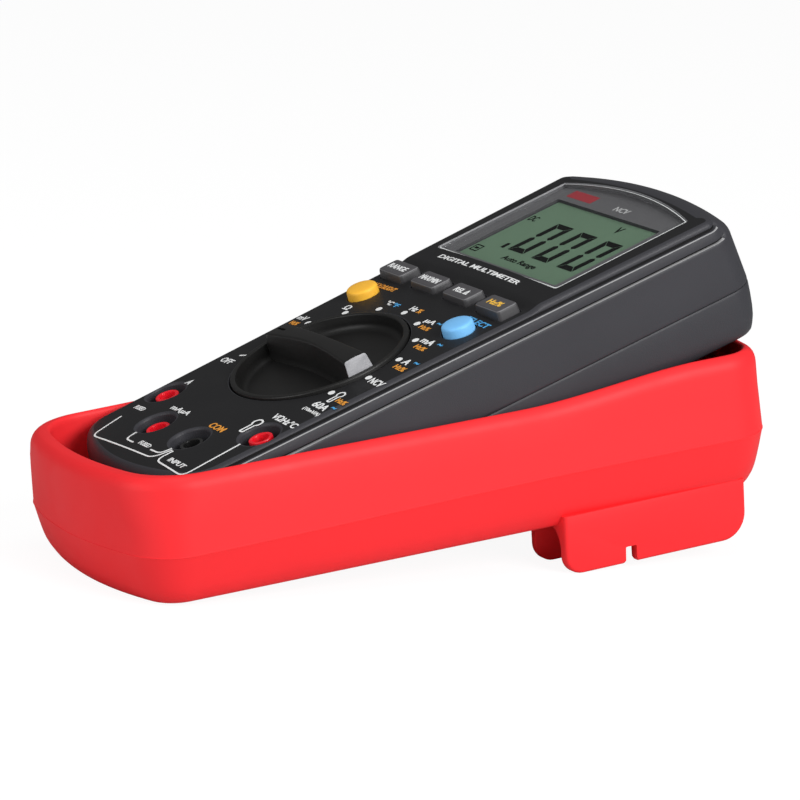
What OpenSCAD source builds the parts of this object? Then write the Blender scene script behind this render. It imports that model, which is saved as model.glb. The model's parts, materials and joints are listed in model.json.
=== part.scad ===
// Digital multimeter resting in its rubber holster.
// Frame: +X to the right of the face, +Y towards the display end, +Z up, Z = 0 is the table.
// The meter is drawn in its own frame: origin on the face at the dial's centre, +Z out of the face.
// The holster is drawn in its own frame: underside at Z = 0, jack end at Y = 0.

/* [Placement] */
// Angle between the meter's face and the table
meter_tilt = 21.5; // [20.5:0.5:22]
// Height of the dial's centre above the table
meter_z = 52.9; // [52:0.1:53.5]
// Where the dial's centre lies along Y
meter_y = -22.3; // [-23:0.05:-21.5]
// Where the holster's jack end lies along Y
holster_y = -92.55; // [-93.2:0.05:-92]

/* [Meter case] */
// Half-width of the case at the dial's centre
body_half_w = 35.4; // [35:0.1:36]
// Widening of each side per millimetre towards the display
body_flare = 0.033; // [0.02:0.001:0.034]
// Y of the jack end's foremost point
nose_y = -64; // [-64:0.5:-62]
// Y of the display end's foremost point
end_y = 110; // [109:0.5:110.5]
// Radius of the arched jack end, seen from above
nose_r = 65; // [60:1:80]
// Radius of the arched display end, seen from above
end_r = 155; // [130:5:180]
// Radius of the two corners at the jack end, seen from above
nose_corner_r = 11; // [8:1:12]
// Radius of the two corners at the display end, seen from above
end_corner_r = 8; // [6:1:10]
// Depth of the joint between front and rear case below the face
split_depth = 20.5; // [20:0.1:21]
// Depth of the case below the face
body_depth = 34; // [33.5:0.1:34.2]
// Wall thickness of the case
wall_t = 2.4; // [2:0.1:2.6]
// How far the display block stands above the face
block_h = 1.4; // [1:0.1:1.8]

/* [Dial] */
// Radius of the dial's ring
dial_r = 23.9; // [23:0.1:24]
// Height of the dial's ring above the face
dial_ring_h = 0.6; // [0.3:0.1:0.8]
// Depth of the dish inside the ring
dish_depth = 4; // [3:0.1:4]
// Width of the handle across the dial
handle_w = 8; // [7:0.5:10]
// Height of the handle's crown above the face
handle_h = 5; // [4:0.5:7]
// Angle between neighbouring dial positions
dial_step = 22.5; // [22.5]

/* [Keys and buttons] */
// Distance between neighbouring rectangular keys
key_pitch = 16.8; // [16:0.1:17]
// Width of a key
key_w = 12; // [11:0.1:12.4]
// Length of a key
key_l = 6.4; // [6:0.1:7]
// Y of the row of keys
key_y = 40; // [39.5:0.1:40.5]
// Height of the keys and buttons above the face
key_h = 2.4; // [1.8:0.1:2.6]
// Distance of the round buttons from the centre line
button_x = 25; // [24.5:0.1:25.5]
// Y of the round buttons
button_y = 28; // [27.5:0.1:28.5]
// Radius of the round buttons
button_r = 4.3; // [4:0.1:4.5]

/* [Display] */
// Half-width of the clear window
lens_half_w = 30.3; // [29.5:0.1:30.5]
// Lower edge of the window
lens_y0 = 54.9; // [54.5:0.1:55.5]
// Upper edge of the window at its corners
lens_y1 = 96.8; // [96:0.1:97]
// Rise of the window's arched upper edge
lens_rise = 4.2; // [3:0.1:4.5]

/* [Sockets] */
// X of the two outer sockets
jack_outer_x = 26; // [25.5:0.1:26.5]
// Y of the two outer sockets
jack_outer_y = -33; // [-33.5:0.1:-32.5]
// X of the two inner sockets, half the 19 mm spacing
jack_inner_x = 9.5; // [9.5]
// Y of the two inner sockets
jack_inner_y = -44.5; // [-45:0.1:-44]
// Radius of the recess round each socket
well_r = 5.2; // [5:0.1:5.4]
// Bore radius of the 4 mm sockets
socket_bore_r = 2; // [2]

/* [Holster] */
// Half-width of the holster at its widest line, at the dial's centre
holster_half_w = 41; // [41:0.1:41.5]
// Widening of each side per millimetre towards the display
holster_flare = 0.03; // [0.028:0.001:0.032]
// Overall length of the holster
holster_l = 190; // [189.5:0.1:190.5]
// Radius of the arched jack end, seen from above
toe_arch_r = 100; // [90:5:120]
// Radius of the arched display end, seen from above
tail_arch_r = 200; // [180:10:240]
// Radius of the corners at the jack end, seen from above
toe_corner_r = 20; // [18:1:22]
// Radius of the corners at the display end, seen from above
tail_corner_r = 14; // [13:1:16]
// Height of the moulding line above the underside
parting_h = 15.2; // [14:0.1:16]
// Height of the rim along the front half
rim_h = 33; // [32.5:0.1:33]
// Wall thickness at the rim
rim_t = 5; // [4.5:0.1:5]
// Thickness of the floor
floor_t = 4.1; // [3.8:0.1:4.1]
// Radius of the probe channels in the feet
channel_r = 6.25; // [6:0.05:6.3]
// Depth of the feet below the underside
foot_h = 12.7; // [12:0.1:13]

/* [Hidden] */
$fn = 64;
eps = 0.01;
play = 0.25;

// ---- holster, in its own frame
dial_in_holster_y = 75.7;
foot_y0 = 122.2;
foot_y1 = 176.7;
foot_x0 = 22.5;
foot_x1 = 40.5;
channel_x = (foot_x0 + foot_x1) / 2;
channel_z = -6.3;
foot_front_r = 5;
foot_rear_r = 8;
guard_slot_y = 141.7;
guard_slot_w = 3.2;
guard_slot_h = 4.5;
toe_y = 9.5;
facet_y = 3.4;
facet_slope = 55;
// the holster stands on its toe edge and on the feet's rounded front corners
toe_to_foot = [foot_y0 + foot_front_r - toe_y, foot_front_r - foot_h];
holster_pitch = -atan2(toe_to_foot[1], toe_to_foot[0]) + asin(foot_front_r / norm(toe_to_foot));
holster_z = -toe_y * sin(holster_pitch);

// ---- meter, in its own frame
face_t = 2.5;
edge_inset = 1.8;
edge_z = -1.5;
shoulder_z = -4.5;
board_z = -14.8;
board_t = 1.6;
board_top = board_z + board_t;
block_y0 = 44.5;
block_y1 = 47.5;
window_y0 = 57.6;
window_y1 = 90.8;
window_half_w = 25.2;
glass_y0 = 52.4;
glass_y1 = 93;
glass_half_w = 27;
glass_top = -2.1;
lens_seat_z = -1.25;
lens_t = 1.4;
heel_y0 = -60;
heel_y1 = -32;
heel_z = -body_depth + (heel_y1 - heel_y0) * tan(meter_tilt - holster_pitch);
jack_base_z = board_top + 0.1;
jack_base_t = 1.4;
dial_hole_r = dial_r + 0.4;
flange_r = 26;
flange_z = -5.2;
flange_top = -2.9;
ring_w = 2.4;
post_z = -11;
mat_top = -12.3;
case_screw_at = [[25, -52], [31, 96]];
board_screw_at = [[30.2, 14], [31.4, 62]];
outer_jack = [jack_outer_x, jack_outer_y];
inner_jack = [jack_inner_x, jack_inner_y];
jacks = [[-jack_outer_x, jack_outer_y], [-jack_inner_x, jack_inner_y], inner_jack, outer_jack];
battery_r = 5.25;
battery_l = 44.5;
battery_x = 6.4;
battery_y = 51;
battery_z = -26.1;
socket_top = -4.4;
socket_floor = -20.4;
door_half_w = 22;
door_y0 = 42;
door_y1 = 98;
door_screw_y = 45.6;
fuse_big = [-17, -24, -22.2];
fuse_small = [17, -20, -19.4];

// ---- colours
charcoal = [0.17, 0.17, 0.18];
key_grey = [0.24, 0.23, 0.23];
holster_red = [0.86, 0.1, 0.12];
collar_red = [0.9, 0.08, 0.1];
board_green = [0.1, 0.35, 0.2];
steel = [0.75, 0.75, 0.77];
brass = [0.8, 0.65, 0.3];
nylon_black = [0.1, 0.1, 0.1];

// ---- shared shapes

// Puts children from the meter's own frame into the part's frame.
module in_meter() translate([0, meter_y, meter_z]) rotate([meter_tilt, 0, 0]) children();

// Puts children from the holster's own frame into the part's frame.
module in_holster() translate([0, holster_y, holster_z]) rotate([holster_pitch, 0, 0]) children();

// Unit vector at an angle.
function dir(a) = [cos(a), sin(a)];

// Centre of the corner arc that touches the side (along x = half_w + flare * y) and the end arc round cy.
function corner_centre(half_w, flare, cy, r, corner, side) =
    let (a = half_w - corner * sqrt(1 + flare * flare), q = 1 + flare * flare, h = a * flare - cy,
        y = (-h + side * sqrt(h * h - q * (a * a + cy * cy - (r - corner) * (r - corner)))) / q)
    [a + flare * y, y];

function arc(centre, r, a0, a1, n) = [for (k = [0 : n]) centre + r * dir(a0 + (a1 - a0) * k / n)];

// Right-hand half of a flared outline with arched ends and rounded corners, from the nose to the far end.
function half_outline(half_w, flare, y0, y1, r0, r1, corner0, corner1, inset, steps) =
    let (c0 = [0, y0 + r0], c1 = [0, y1 - r1], side_angle = -atan(flare),
        f0 = corner_centre(half_w, flare, c0[1], r0, corner0, -1),
        f1 = corner_centre(half_w, flare, c1[1], r1, corner1, 1),
        a0 = atan2(f0[1] - c0[1], f0[0]), a1 = atan2(f1[1] - c1[1], f1[0]),
        s0 = f0 + (corner0 - inset) * dir(side_angle), s1 = f1 + (corner1 - inset) * dir(side_angle))
    concat(arc(c0, r0 - inset, -90, a0, 6),
        [for (k = [1 : 8]) f0 + (corner0 - inset) * dir(a0 + (side_angle - a0) * k / 8)],
        [for (k = [1 : steps]) s0 + (s1 - s0) * k / steps],
        [for (k = [1 : 8]) f1 + (corner1 - inset) * dir(side_angle + (a1 - side_angle) * k / 8)],
        [for (k = [1 : 6]) c1 + (r1 - inset) * dir(a1 + (90 - a1) * k / 6)]);

function whole(half) = concat(half, [for (i = [len(half) - 2 : -1 : 1]) [-half[i][0], half[i][1]]]);

// Outline of the meter's case, moved inwards by inset.
function case_ring(inset) = whole(half_outline(body_half_w, body_flare, nose_y, end_y,
    nose_r, end_r, nose_corner_r, end_corner_r, inset, 1));

// Outline of the holster, moved inwards by inset, with its jack end moved inwards a further toe.
function holster_ring(inset, toe = 0) = [for (p = whole(half_outline(holster_half_w, holster_flare,
    toe - dial_in_holster_y, holster_l - dial_in_holster_y, toe_arch_r, tail_arch_r, toe_corner_r, tail_corner_r,
    inset, 22)))
    p + [0, dial_in_holster_y]];

module case_outline(inset = 0) polygon(case_ring(inset));

function quads(n, k, i) = [[k * n + i, (k + 1) * n + i, (k + 1) * n + (i + 1) % n],
    [k * n + i, (k + 1) * n + (i + 1) % n, k * n + (i + 1) % n]];

// Solid through rings of 3-D points that all have the same number of points.
module loft(rings) {
    n = len(rings[0]);
    top = (len(rings) - 1) * n;
    polyhedron([for (ring = rings) each ring], concat([[for (i = [0 : n - 1]) i]],
        [[for (i = [n - 1 : -1 : 0]) top + i]],
        [for (k = [0 : len(rings) - 2]) for (i = [0 : n - 1]) each quads(n, k, i)]));
}

// Case-shaped solid through [height, inset] pairs.
module case_loft(levels) loft([for (l = levels) [for (p = case_ring(l[1])) [p[0], p[1], l[0]]]]);

module layer(z, t = eps) translate([0, 0, z]) linear_extrude(t) children();

module both_sides() {
    children();
    mirror([1, 0, 0]) children();
}

module rounded_rect(w, l, r) offset(r = r, $fn = 24) square([w - 2 * r, l - 2 * r], center = true);

module tube(r_out, r_in, z0, z1) translate([0, 0, z0]) difference() {
    cylinder(r = r_out, h = z1 - z0);
    translate([0, 0, -1]) cylinder(r = r_in, h = z1 - z0 + 2);
}

module box(low, high) translate(low) cube(high - low);

// ---- holster

function smooth(t) = t <= 0 ? 0 : t >= 1 ? 1 : t * t * (3 - 2 * t);
// Height of the rim: level in front, then one gentle step up towards the display end.
function rim_at(y) = rim_h + 4 * smooth((y - 112) / 56);

module along_x(half_w) rotate([90, 0, 90]) translate([0, 0, -half_w]) linear_extrude(2 * half_w) children();

function level_ring(z, inset, toe = 0) = [for (p = holster_ring(inset, toe)) [p[0], p[1], z]];
function rim_ring(drop, inset, toe = 0) = [for (p = holster_ring(inset, toe)) [p[0], p[1], rim_at(p[1]) - drop]];

// One skin: up the outside, over the rounded rim and down into the pocket.
module holster_shell() loft([level_ring(0, 6.8), level_ring(1.2, 4.8), level_ring(4.2, 3.4), level_ring(parting_h, 0),
    rim_ring(3, 1.1), rim_ring(1.1, 1.6), rim_ring(0.25, 2.4), rim_ring(0, 3.4),
    rim_ring(0, rim_t - 1.6, 1.8), rim_ring(0.25, rim_t - 0.9, 1.8), rim_ring(1.2, rim_t - 0.2, 1.8),
    rim_ring(2.4, rim_t, 1.8), level_ring(floor_t + 4, rim_t + 0.2, 1.8), level_ring(floor_t + 1.2, rim_t + 0.9, 1.8),
    level_ring(floor_t, rim_t + 2, 1.8)]);

// The lower part of the same shape, filled.
module holster_block() loft([level_ring(0, 6.8), level_ring(1.2, 4.8), level_ring(4.2, 3.4), level_ring(parting_h, 0)]);

module foot() {
    difference() {
        translate([foot_x0, 0, 0]) rotate([90, 0, 90]) linear_extrude(foot_x1 - foot_x0) hull() {
            translate([foot_y0 + foot_front_r, foot_front_r - foot_h]) circle(foot_front_r, $fn = 48);
            translate([foot_y1 - foot_rear_r, foot_rear_r - foot_h]) circle(foot_rear_r, $fn = 48);
            translate([foot_y0, 0]) square([foot_y1 - foot_y0, 2.5]);
        }
        translate([channel_x, foot_y0 - 5, channel_z]) rotate([-90, 0, 0])
            cylinder(r = channel_r, h = foot_y1 - foot_y0 + 10);
        box([channel_x - channel_r, foot_y0 - 5, -foot_h - 5], [channel_x + channel_r, foot_y1 + 5, channel_z]);
        box([foot_x0 - 2, guard_slot_y - guard_slot_w / 2, -foot_h - 5],
            [foot_x1 + 2, guard_slot_y + guard_slot_w / 2, guard_slot_h - foot_h]);
    }
}

module holster() color(holster_red) in_holster() difference() {
    holster_shell();
    toe_cut(toe_y, 0, holster_pitch);
    toe_cut(facet_y, (toe_y - facet_y) * tan(holster_pitch), facet_slope);
}

// Takes off what is below a plane that rises from a line across the underside towards the jack end.
module toe_cut(y, z, slope) translate([0, y, z]) rotate([180 - slope, 0, 0]) translate([-60, 0, 0]) cube([120, 60, 60]);

// The feet are moulded in one with the holster; as nodes of their own they end where its underside begins.
module holster_foot() difference() {
    foot();
    holster_block();
}
module holster_foot_left() color(holster_red) in_holster() mirror([1, 0, 0]) holster_foot();
module holster_foot_right() color(holster_red) in_holster() holster_foot();

// ---- case

// Solid from the joint up to the face, with the sloped edge, and the raised display block.
module front_blank() {
    case_loft([[-split_depth, 0], [shoulder_z, 0], [edge_z, edge_inset], [0, edge_inset + 0.6]]);
    intersection() {
        case_loft([[-1, edge_inset + 0.9], [block_h, edge_inset + 2]]);
        along_x(60) polygon([[block_y0 - 1, -0.6], [block_y1, block_h], [end_y + 5, block_h + 1], [end_y + 5, -2], [block_y0 - 1, -2]]);
    }
}

module lens_outline(inset = 0) offset(delta = -inset) intersection() {
    translate([-lens_half_w, lens_y0]) square([2 * lens_half_w, lens_y1 - lens_y0 + lens_rise]);
    arch_r = (lens_half_w * lens_half_w + lens_rise * lens_rise) / (2 * lens_rise);
    translate([0, lens_y1 + lens_rise - arch_r]) circle(arch_r, $fn = 240);
}

module key_places() for (i = [0 : 3]) translate([(i - 1.5) * key_pitch, key_y]) children();

module front_case() color(charcoal) in_meter() difference() {
    union() {
        difference() {
            front_blank();
            translate([0, 0, -split_depth - 1]) linear_extrude(split_depth + 1 - face_t) case_outline(wall_t + 0.2);
        }
        for (p = case_screw_at) both_sides() translate([p[0], p[1], 0]) tube(3, 1.4, -split_depth, -face_t + eps);
        for (p = board_screw_at) both_sides() translate([p[0], p[1], 0]) tube(2.4, 1.1, board_top + 0.05, -face_t + eps);
        for (p = jacks) translate([p[0], p[1], 0])
            tube(well_r + 1.4, well_r, jack_base_z + jack_base_t + 0.05, -face_t + eps);
    }
    translate([0, 0, -face_t - 1]) cylinder(r = dial_hole_r, h = face_t + 3, $fn = 96);
    for (p = jacks) translate([p[0], p[1], -face_t - 1]) cylinder(r = well_r, h = face_t + 3);
    key_places() translate([0, 0, -face_t - 1]) linear_extrude(face_t + 3) rounded_rect(key_w + 2 * play, key_l + 2 * play, 1);
    both_sides() translate([button_x, button_y, -face_t - 1]) cylinder(r = button_r + play, h = face_t + 3);
    layer(lens_seat_z, 4) lens_outline();
    box([-window_half_w, window_y0, -face_t - 1], [window_half_w, window_y1, 1]);
    box([-glass_half_w - 0.1, glass_y0 - 0.1, -face_t - 1], [glass_half_w + 0.1, glass_y1 + 0.1, glass_top + 0.05]);
}

// Side profile of the rear case; its heel lies parallel to the holster's floor.
module rear_profile(inset) polygon([[nose_y - 10, heel_z + 6.2 + inset], [heel_y0 - 2.2, heel_z + 1.6 + inset],
    [heel_y0, heel_z + inset], [heel_y1, -body_depth + inset], [end_y - 6, -body_depth + inset],
    [end_y + 10, -body_depth + 12 + inset], [end_y + 10, 0], [nose_y - 10, 0]]);

module rear_blank(inset, top) intersection() {
    case_loft([[-body_depth + inset, 2.6 + inset], [-body_depth + 1, 1.2 + inset], [-body_depth + 4, 0.4 + inset],
        [top, inset]]);
    along_x(60) rear_profile(inset);
}

module rear_case() color(charcoal) in_meter() difference() {
    union() {
        difference() {
            rear_blank(0, -split_depth - 0.02);
            rear_blank(wall_t, -split_depth + 1);
        }
        intersection() {
            union() {
                box([-24.5, door_y0 - 2.5, -body_depth], [24.5, end_y, -body_depth + wall_t + 1.3]);
                box([-14.5, 48.2, -body_depth], [14.5, 99.4, -19.6]);
                translate([0, door_screw_y, -body_depth]) cylinder(r = 2.8, h = 10.5);
                for (p = case_screw_at) both_sides() translate([p[0], p[1], -body_depth])
                    cylinder(r = 3.8, h = body_depth - split_depth - 0.02);
            }
            rear_blank(0.2, -split_depth + 1);
        }
    }
    box([-13.3, 49.4, -body_depth - 1], [13.3, 98.2, -20.6]);
    box([-door_half_w - 0.2, door_y0 - 0.2, -body_depth - 1], [door_half_w + 0.2, door_y1 + 0.2, -body_depth + wall_t + 0.05]);
    translate([0, door_screw_y, -body_depth]) cylinder(r = 1.15, h = 9);
    for (p = case_screw_at) both_sides() translate([p[0], p[1], -body_depth - 1]) {
        cylinder(r = 1.6, h = 30);
        cylinder(r = 3, h = p[1] < 0 ? 9.8 : 5);
    }
}

module case_screw(head_z) {
    translate([0, 0, head_z - 1.83]) cylinder(r = 2.7, h = 1.8);
    translate([0, 0, head_z - 0.1]) cylinder(r = 1.35, h = -7 - head_z);
}

module case_screws() color(steel) in_meter() for (p = case_screw_at)
    both_sides() translate([p[0], p[1], 0]) case_screw(p[1] < 0 ? -body_depth + 8.8 : -body_depth + 4);

module battery_door() color(charcoal) in_meter() difference() {
    box([-door_half_w, door_y0, -body_depth], [door_half_w, door_y1, -body_depth + wall_t]);
    translate([0, door_screw_y, -body_depth - 1]) cylinder(r = 1.3, h = 5);
    translate([0, door_screw_y, -body_depth - 1]) cylinder(r = 2.7, h = 2.4);
}

module door_screw() color(steel) in_meter() translate([0, door_screw_y, -body_depth]) {
    translate([0, 0, 0.1]) cylinder(r = 2.5, h = 1.3);
    cylinder(r = 1.1, h = 8);
}

// ---- display

module display_lens() color([0.6, 0.65, 0.65, 0.4]) in_meter()
    layer(lens_seat_z + 0.05, lens_t) lens_outline(0.1);

module lcd_glass() color([0.5, 0.62, 0.48]) in_meter()
    box([-glass_half_w, glass_y0, glass_top - 1.5], [glass_half_w, glass_y1, glass_top]);

module lcd_backlight() color([0.85, 0.9, 0.8]) in_meter() box([-26.4, 56.8, -5.8], [26.4, 92.4, glass_top - 1.55]);

module lcd_frame() color("white") in_meter() difference() {
    box([-28, 55.2, board_top + 0.05], [28, 94, glass_top - 1.55]);
    box([-26.6, 56.6, board_top - 1], [26.6, 92.6, 0]);
}

module contact_strip() color([0.85, 0.45, 0.55]) in_meter()
    box([-24, 52.6, board_top + 0.05], [24, 54.9, glass_top - 1.52]);

// ---- circuit board and what it carries

module main_board() color(board_green) in_meter() difference() {
    layer(board_z, board_t) case_outline(wall_t + 0.8);
    for (p = case_screw_at) both_sides() translate([p[0], p[1], board_z - 1]) cylinder(r = 3.5, h = 4);
    for (p = board_screw_at) both_sides() translate([p[0], p[1], board_z - 1]) cylinder(r = 1.3, h = 4);
    for (p = jacks) translate([p[0], p[1], board_z - 1]) cylinder(r = 2.6, h = 4);
}

module measuring_chip() color(nylon_black) in_meter() box([-7, -14, board_z - 1.8], [7, 0, board_z - 0.05]);

module buzzer() color(nylon_black) in_meter() translate([0, 32, board_z - 4.6]) tube(6, 0.8, 0, 4.5);

module ptc_thermistor() color([0.3, 0.45, 0.7]) in_meter() {
    translate([25.4, -15, board_z - 4.8]) rotate([0, 90, 0]) cylinder(r = 3.8, h = 2.6);
    for (s = [-1, 1]) translate([26.7, -15 + 2 * s, board_z - 3]) cylinder(r = 0.35, h = 2.9, $fn = 16);
}

module current_shunt() color(brass) in_meter() {
    box([-20, -35.6, -21.4], [4, -33.8, -19.6]);
    for (x = [-20, 2.2]) box([x, -35.6, -19.7], [x + 1.8, -33.8, board_z - 0.05]);
}

module voltage_sensor() color(brass) in_meter() box([-12, 97.6, board_top + 0.05], [12, 100.6, board_top + 1.2]);

module keypad_mat() color([0.5, 0.5, 0.52]) in_meter() difference() {
    box([-33.4, 22.5, board_top + 0.05], [33.4, 45.4, mat_top]);
    translate([0, 0, board_top - 1]) cylinder(r = 29.6, h = 4);
}

module jack_base() color(nylon_black) in_meter() difference() {
    for (i = [0 : 2]) layer(jack_base_z, jack_base_t) hull() for (p = [jacks[i], jacks[i + 1]])
        translate(p) circle(5.2, $fn = 32);
    for (p = jacks) translate([p[0], p[1], -20]) cylinder(r = 2.5, h = 20);
}

module collar(p) in_meter() translate([p[0], p[1], 0]) tube(3.15, 2.45, jack_base_z + jack_base_t + 0.05, -1.6);
module collar_amp() color(collar_red) collar(jacks[0]);
module collar_milliamp() color(collar_red) collar(jacks[1]);
module collar_com() color(nylon_black) collar(jacks[2]);
module collar_volt() color(collar_red) collar(jacks[3]);

// A 4 mm socket tube with a soldering flange under the board.
module socket(p) color(brass) in_meter() translate([p[0], p[1], 0]) difference() {
    union() {
        translate([0, 0, socket_floor - 1]) cylinder(r = 2.4, h = socket_top - socket_floor + 1);
        translate([0, 0, board_z - 0.65]) cylinder(r = 3.4, h = 0.6);
    }
    translate([0, 0, socket_floor]) cylinder(r = socket_bore_r, h = 25);
}
module socket_amp() socket(jacks[0]);
module socket_milliamp() socket(jacks[1]);
module socket_com() socket(jacks[2]);
module socket_volt() socket(jacks[3]);

module fuse(r, l) {
    rotate([-90, 0, 0]) {
        cylinder(r = r - 0.25, h = l);
        cylinder(r = r, h = l / 5);
        translate([0, 0, l * 4 / 5]) cylinder(r = r, h = l / 5);
    }
}
module fuse_large() color("ivory") in_meter() translate(fuse_big) fuse(5.15, 38);
module fuse_small_tube() color("ivory") in_meter() translate(fuse_small) fuse(3.15, 32);

// A spring clip round the end of a fuse, hanging from the board.
module fuse_clip(r, top) difference() {
    box([-r - 0.9, 1, -1.2], [r + 0.9, 5, top]);
    translate([0, -1, 0]) rotate([-90, 0, 0]) cylinder(r = r + 0.1, h = 9);
    box([-r - 0.1, -1, -3], [r + 0.1, 9, 0]);
}
module fuse_clips() color(steel) in_meter() {
    for (y = [0, 32]) translate(fuse_big + [0, y, 0]) fuse_clip(5.15, board_z - 0.05 - fuse_big[2]);
    for (y = [0, 26]) translate(fuse_small + [0, y, 0]) fuse_clip(3.15, board_z - 0.05 - fuse_small[2]);
}

module rear_shield() color(steel) in_meter()
    box([-27, -28, -body_depth + wall_t + 0.1], [27, 39, -body_depth + wall_t + 0.4]);

// ---- batteries

module battery() rotate([-90, 0, 0]) {
    cylinder(r = battery_r, h = battery_l - 1);
    cylinder(r = 1.9, h = battery_l);
}
module battery_left() color([0.3, 0.4, 0.6]) in_meter() translate([-battery_x, battery_y, battery_z]) battery();
module battery_right() color([0.3, 0.4, 0.6]) in_meter() translate([battery_x, battery_y + battery_l, battery_z])
    rotate([0, 0, 180]) battery();
module battery_contacts() color(steel) in_meter() for (y = [battery_y - 0.7, battery_y + battery_l + 0.1], x = [-1, 1])
    box([x * battery_x - 4.5, y, battery_z - 4.5], [x * battery_x + 4.5, y + 0.6, battery_z + 5.3]);

module board_screws() color(steel) in_meter() for (p = board_screw_at) both_sides() translate([p[0], p[1], 0]) {
    translate([0, 0, board_z - 1.4]) cylinder(r = 2.2, h = 1.35);
    translate([0, 0, board_z - 0.1]) cylinder(r = 1.05, h = 7);
}

// ---- dial

module handle_profile() polygon([[-22.8, -dish_depth - 0.5], [-22.8, 0.5], [-21.2, handle_h - 0.8],
    [-10, handle_h - 0.2], [0, handle_h], [10, handle_h - 0.2], [21.2, handle_h - 0.8], [22.8, 0.5],
    [22.8, -dish_depth - 0.5]]);

module rotary_dial() color(charcoal) in_meter() {
    difference() {
        union() {
            translate([0, 0, flange_z]) cylinder(r = dial_r, h = dial_ring_h - flange_z, $fn = 96);
            translate([0, 0, flange_z]) cylinder(r = flange_r, h = flange_top - flange_z, $fn = 96);
        }
        translate([0, 0, dial_ring_h - dish_depth]) cylinder(r = dial_r - ring_w, h = 10, $fn = 96);
    }
    intersection() {
        rotate([90, 0, 0]) translate([0, 0, -handle_w / 2]) linear_extrude(handle_w) handle_profile();
        translate([0, 0, -10]) cylinder(r = dial_r - 0.6, h = 20, $fn = 96);
    }
}

module dial_rotor() color("white") in_meter() difference() {
    union() {
        translate([0, 0, -12.5]) cylinder(r = 22, h = 12.5 + flange_z - 0.02);
        translate([0, 0, -10.8]) cylinder(r = 25, h = 3.6);
    }
    for (s = [0, 180]) rotate(s) translate([19, 0, -9]) rotate([0, 90, 0]) cylinder(r = 1.6, h = 7);
}

module wiper_contacts() color(brass) in_meter() for (a = [90, 210, 330], r = [12, 16]) rotate(a)
    translate([r - 0.75, -3.5, -12.95]) cube([1.5, 7, 0.42]);

module detent_balls() color(steel) in_meter() for (s = [0, 180]) rotate(s) translate([24, 0, -9]) sphere(1.5, $fn = 32);

module detent_springs() color(steel) in_meter() for (s = [0, 180]) rotate(s)
    translate([19.1, 0, -9]) rotate([0, 90, 0]) tube(1.4, 0.9, 0, 3.3);

// Ring with one notch for each dial position.
module detent_ring() color(nylon_black) in_meter() difference() {
    translate([0, 0, board_top + 0.05]) cylinder(r = 29.2, h = -5.6 - board_top, $fn = 96);
    translate([0, 0, board_top - 1]) cylinder(r = 25.9, h = 9, $fn = 96);
    for (i = [0 : 15]) rotate(i * dial_step) translate([25.6, 0, board_top - 1]) cylinder(r = 1.3, h = 9, $fn = 24);
}

// ---- keys and buttons

module stem() translate([0, 0, post_z]) cylinder(r = 1.5, h = -face_t - 1 - post_z, $fn = 32);

module flat_key(i) in_meter() translate([(i - 1.5) * key_pitch, key_y, 0]) {
    layer(-3.6, 3.6 + key_h - 0.8) rounded_rect(key_w, key_l, 0.8);
    hull() {
        layer(key_h - 0.8 - eps) rounded_rect(key_w, key_l, 0.8);
        layer(key_h - eps) rounded_rect(key_w - 1.4, key_l - 1.4, 0.6);
    }
    layer(-3.6, 0.8) rounded_rect(key_w + 1.6, key_l + 1.6, 1);
    stem();
}
module range_key() color(key_grey) flat_key(0);
module maxmin_key() color(key_grey) flat_key(1);
module relative_key() color(key_grey) flat_key(2);
module hertz_key() color(key_grey) flat_key(3);

module round_button(side) in_meter() translate([side * button_x, button_y, 0]) {
    translate([0, 0, -3.6]) cylinder(r = button_r, h = 3.6 + key_h - 0.6);
    translate([0, 0, key_h - 0.6]) cylinder(r1 = button_r, r2 = button_r - 0.6, h = 0.6);
    translate([0, 0, -3.6]) cylinder(r = button_r + 0.9, h = 0.8);
    stem();
}
module hold_button() color([1, 0.72, 0.2]) round_button(-1);
module select_button() color([0.42, 0.68, 0.92]) round_button(1);

holster();
holster_foot_left();
holster_foot_right();
front_case();
rear_case();
display_lens();
lcd_glass();
lcd_backlight();
lcd_frame();
contact_strip();
main_board();
measuring_chip();
buzzer();
ptc_thermistor();
current_shunt();
voltage_sensor();
keypad_mat();
jack_base();
collar_amp();
collar_milliamp();
collar_com();
collar_volt();
socket_amp();
socket_milliamp();
socket_com();
socket_volt();
detent_ring();
fuse_large();
fuse_small_tube();
fuse_clips();
rear_shield();
battery_left();
battery_right();
battery_contacts();
battery_door();
door_screw();
case_screws();
board_screws();
rotary_dial();
dial_rotor();
wiper_contacts();
detent_balls();
detent_springs();
range_key();
maxmin_key();
relative_key();
hertz_key();
hold_button();
select_button();
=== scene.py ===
"""Digital multimeter leaning in its rubber holster: the looks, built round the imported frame."""
import json
import math

import bpy
import numpy as np
from mathutils import Matrix, Vector


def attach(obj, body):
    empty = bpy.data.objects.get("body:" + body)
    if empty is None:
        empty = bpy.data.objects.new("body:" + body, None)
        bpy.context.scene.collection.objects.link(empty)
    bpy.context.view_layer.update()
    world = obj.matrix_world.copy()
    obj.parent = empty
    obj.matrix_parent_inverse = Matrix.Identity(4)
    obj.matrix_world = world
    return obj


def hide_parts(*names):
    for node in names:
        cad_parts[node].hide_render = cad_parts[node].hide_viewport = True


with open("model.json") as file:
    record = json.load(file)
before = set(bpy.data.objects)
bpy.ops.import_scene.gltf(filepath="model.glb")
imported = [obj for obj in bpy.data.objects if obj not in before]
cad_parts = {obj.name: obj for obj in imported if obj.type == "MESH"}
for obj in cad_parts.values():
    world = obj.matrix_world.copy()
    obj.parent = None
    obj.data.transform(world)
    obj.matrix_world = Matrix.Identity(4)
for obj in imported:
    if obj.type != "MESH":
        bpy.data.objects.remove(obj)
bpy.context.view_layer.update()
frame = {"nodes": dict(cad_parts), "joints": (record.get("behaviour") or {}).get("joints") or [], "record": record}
NODES, RECORD = frame["nodes"], frame["record"]
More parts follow.
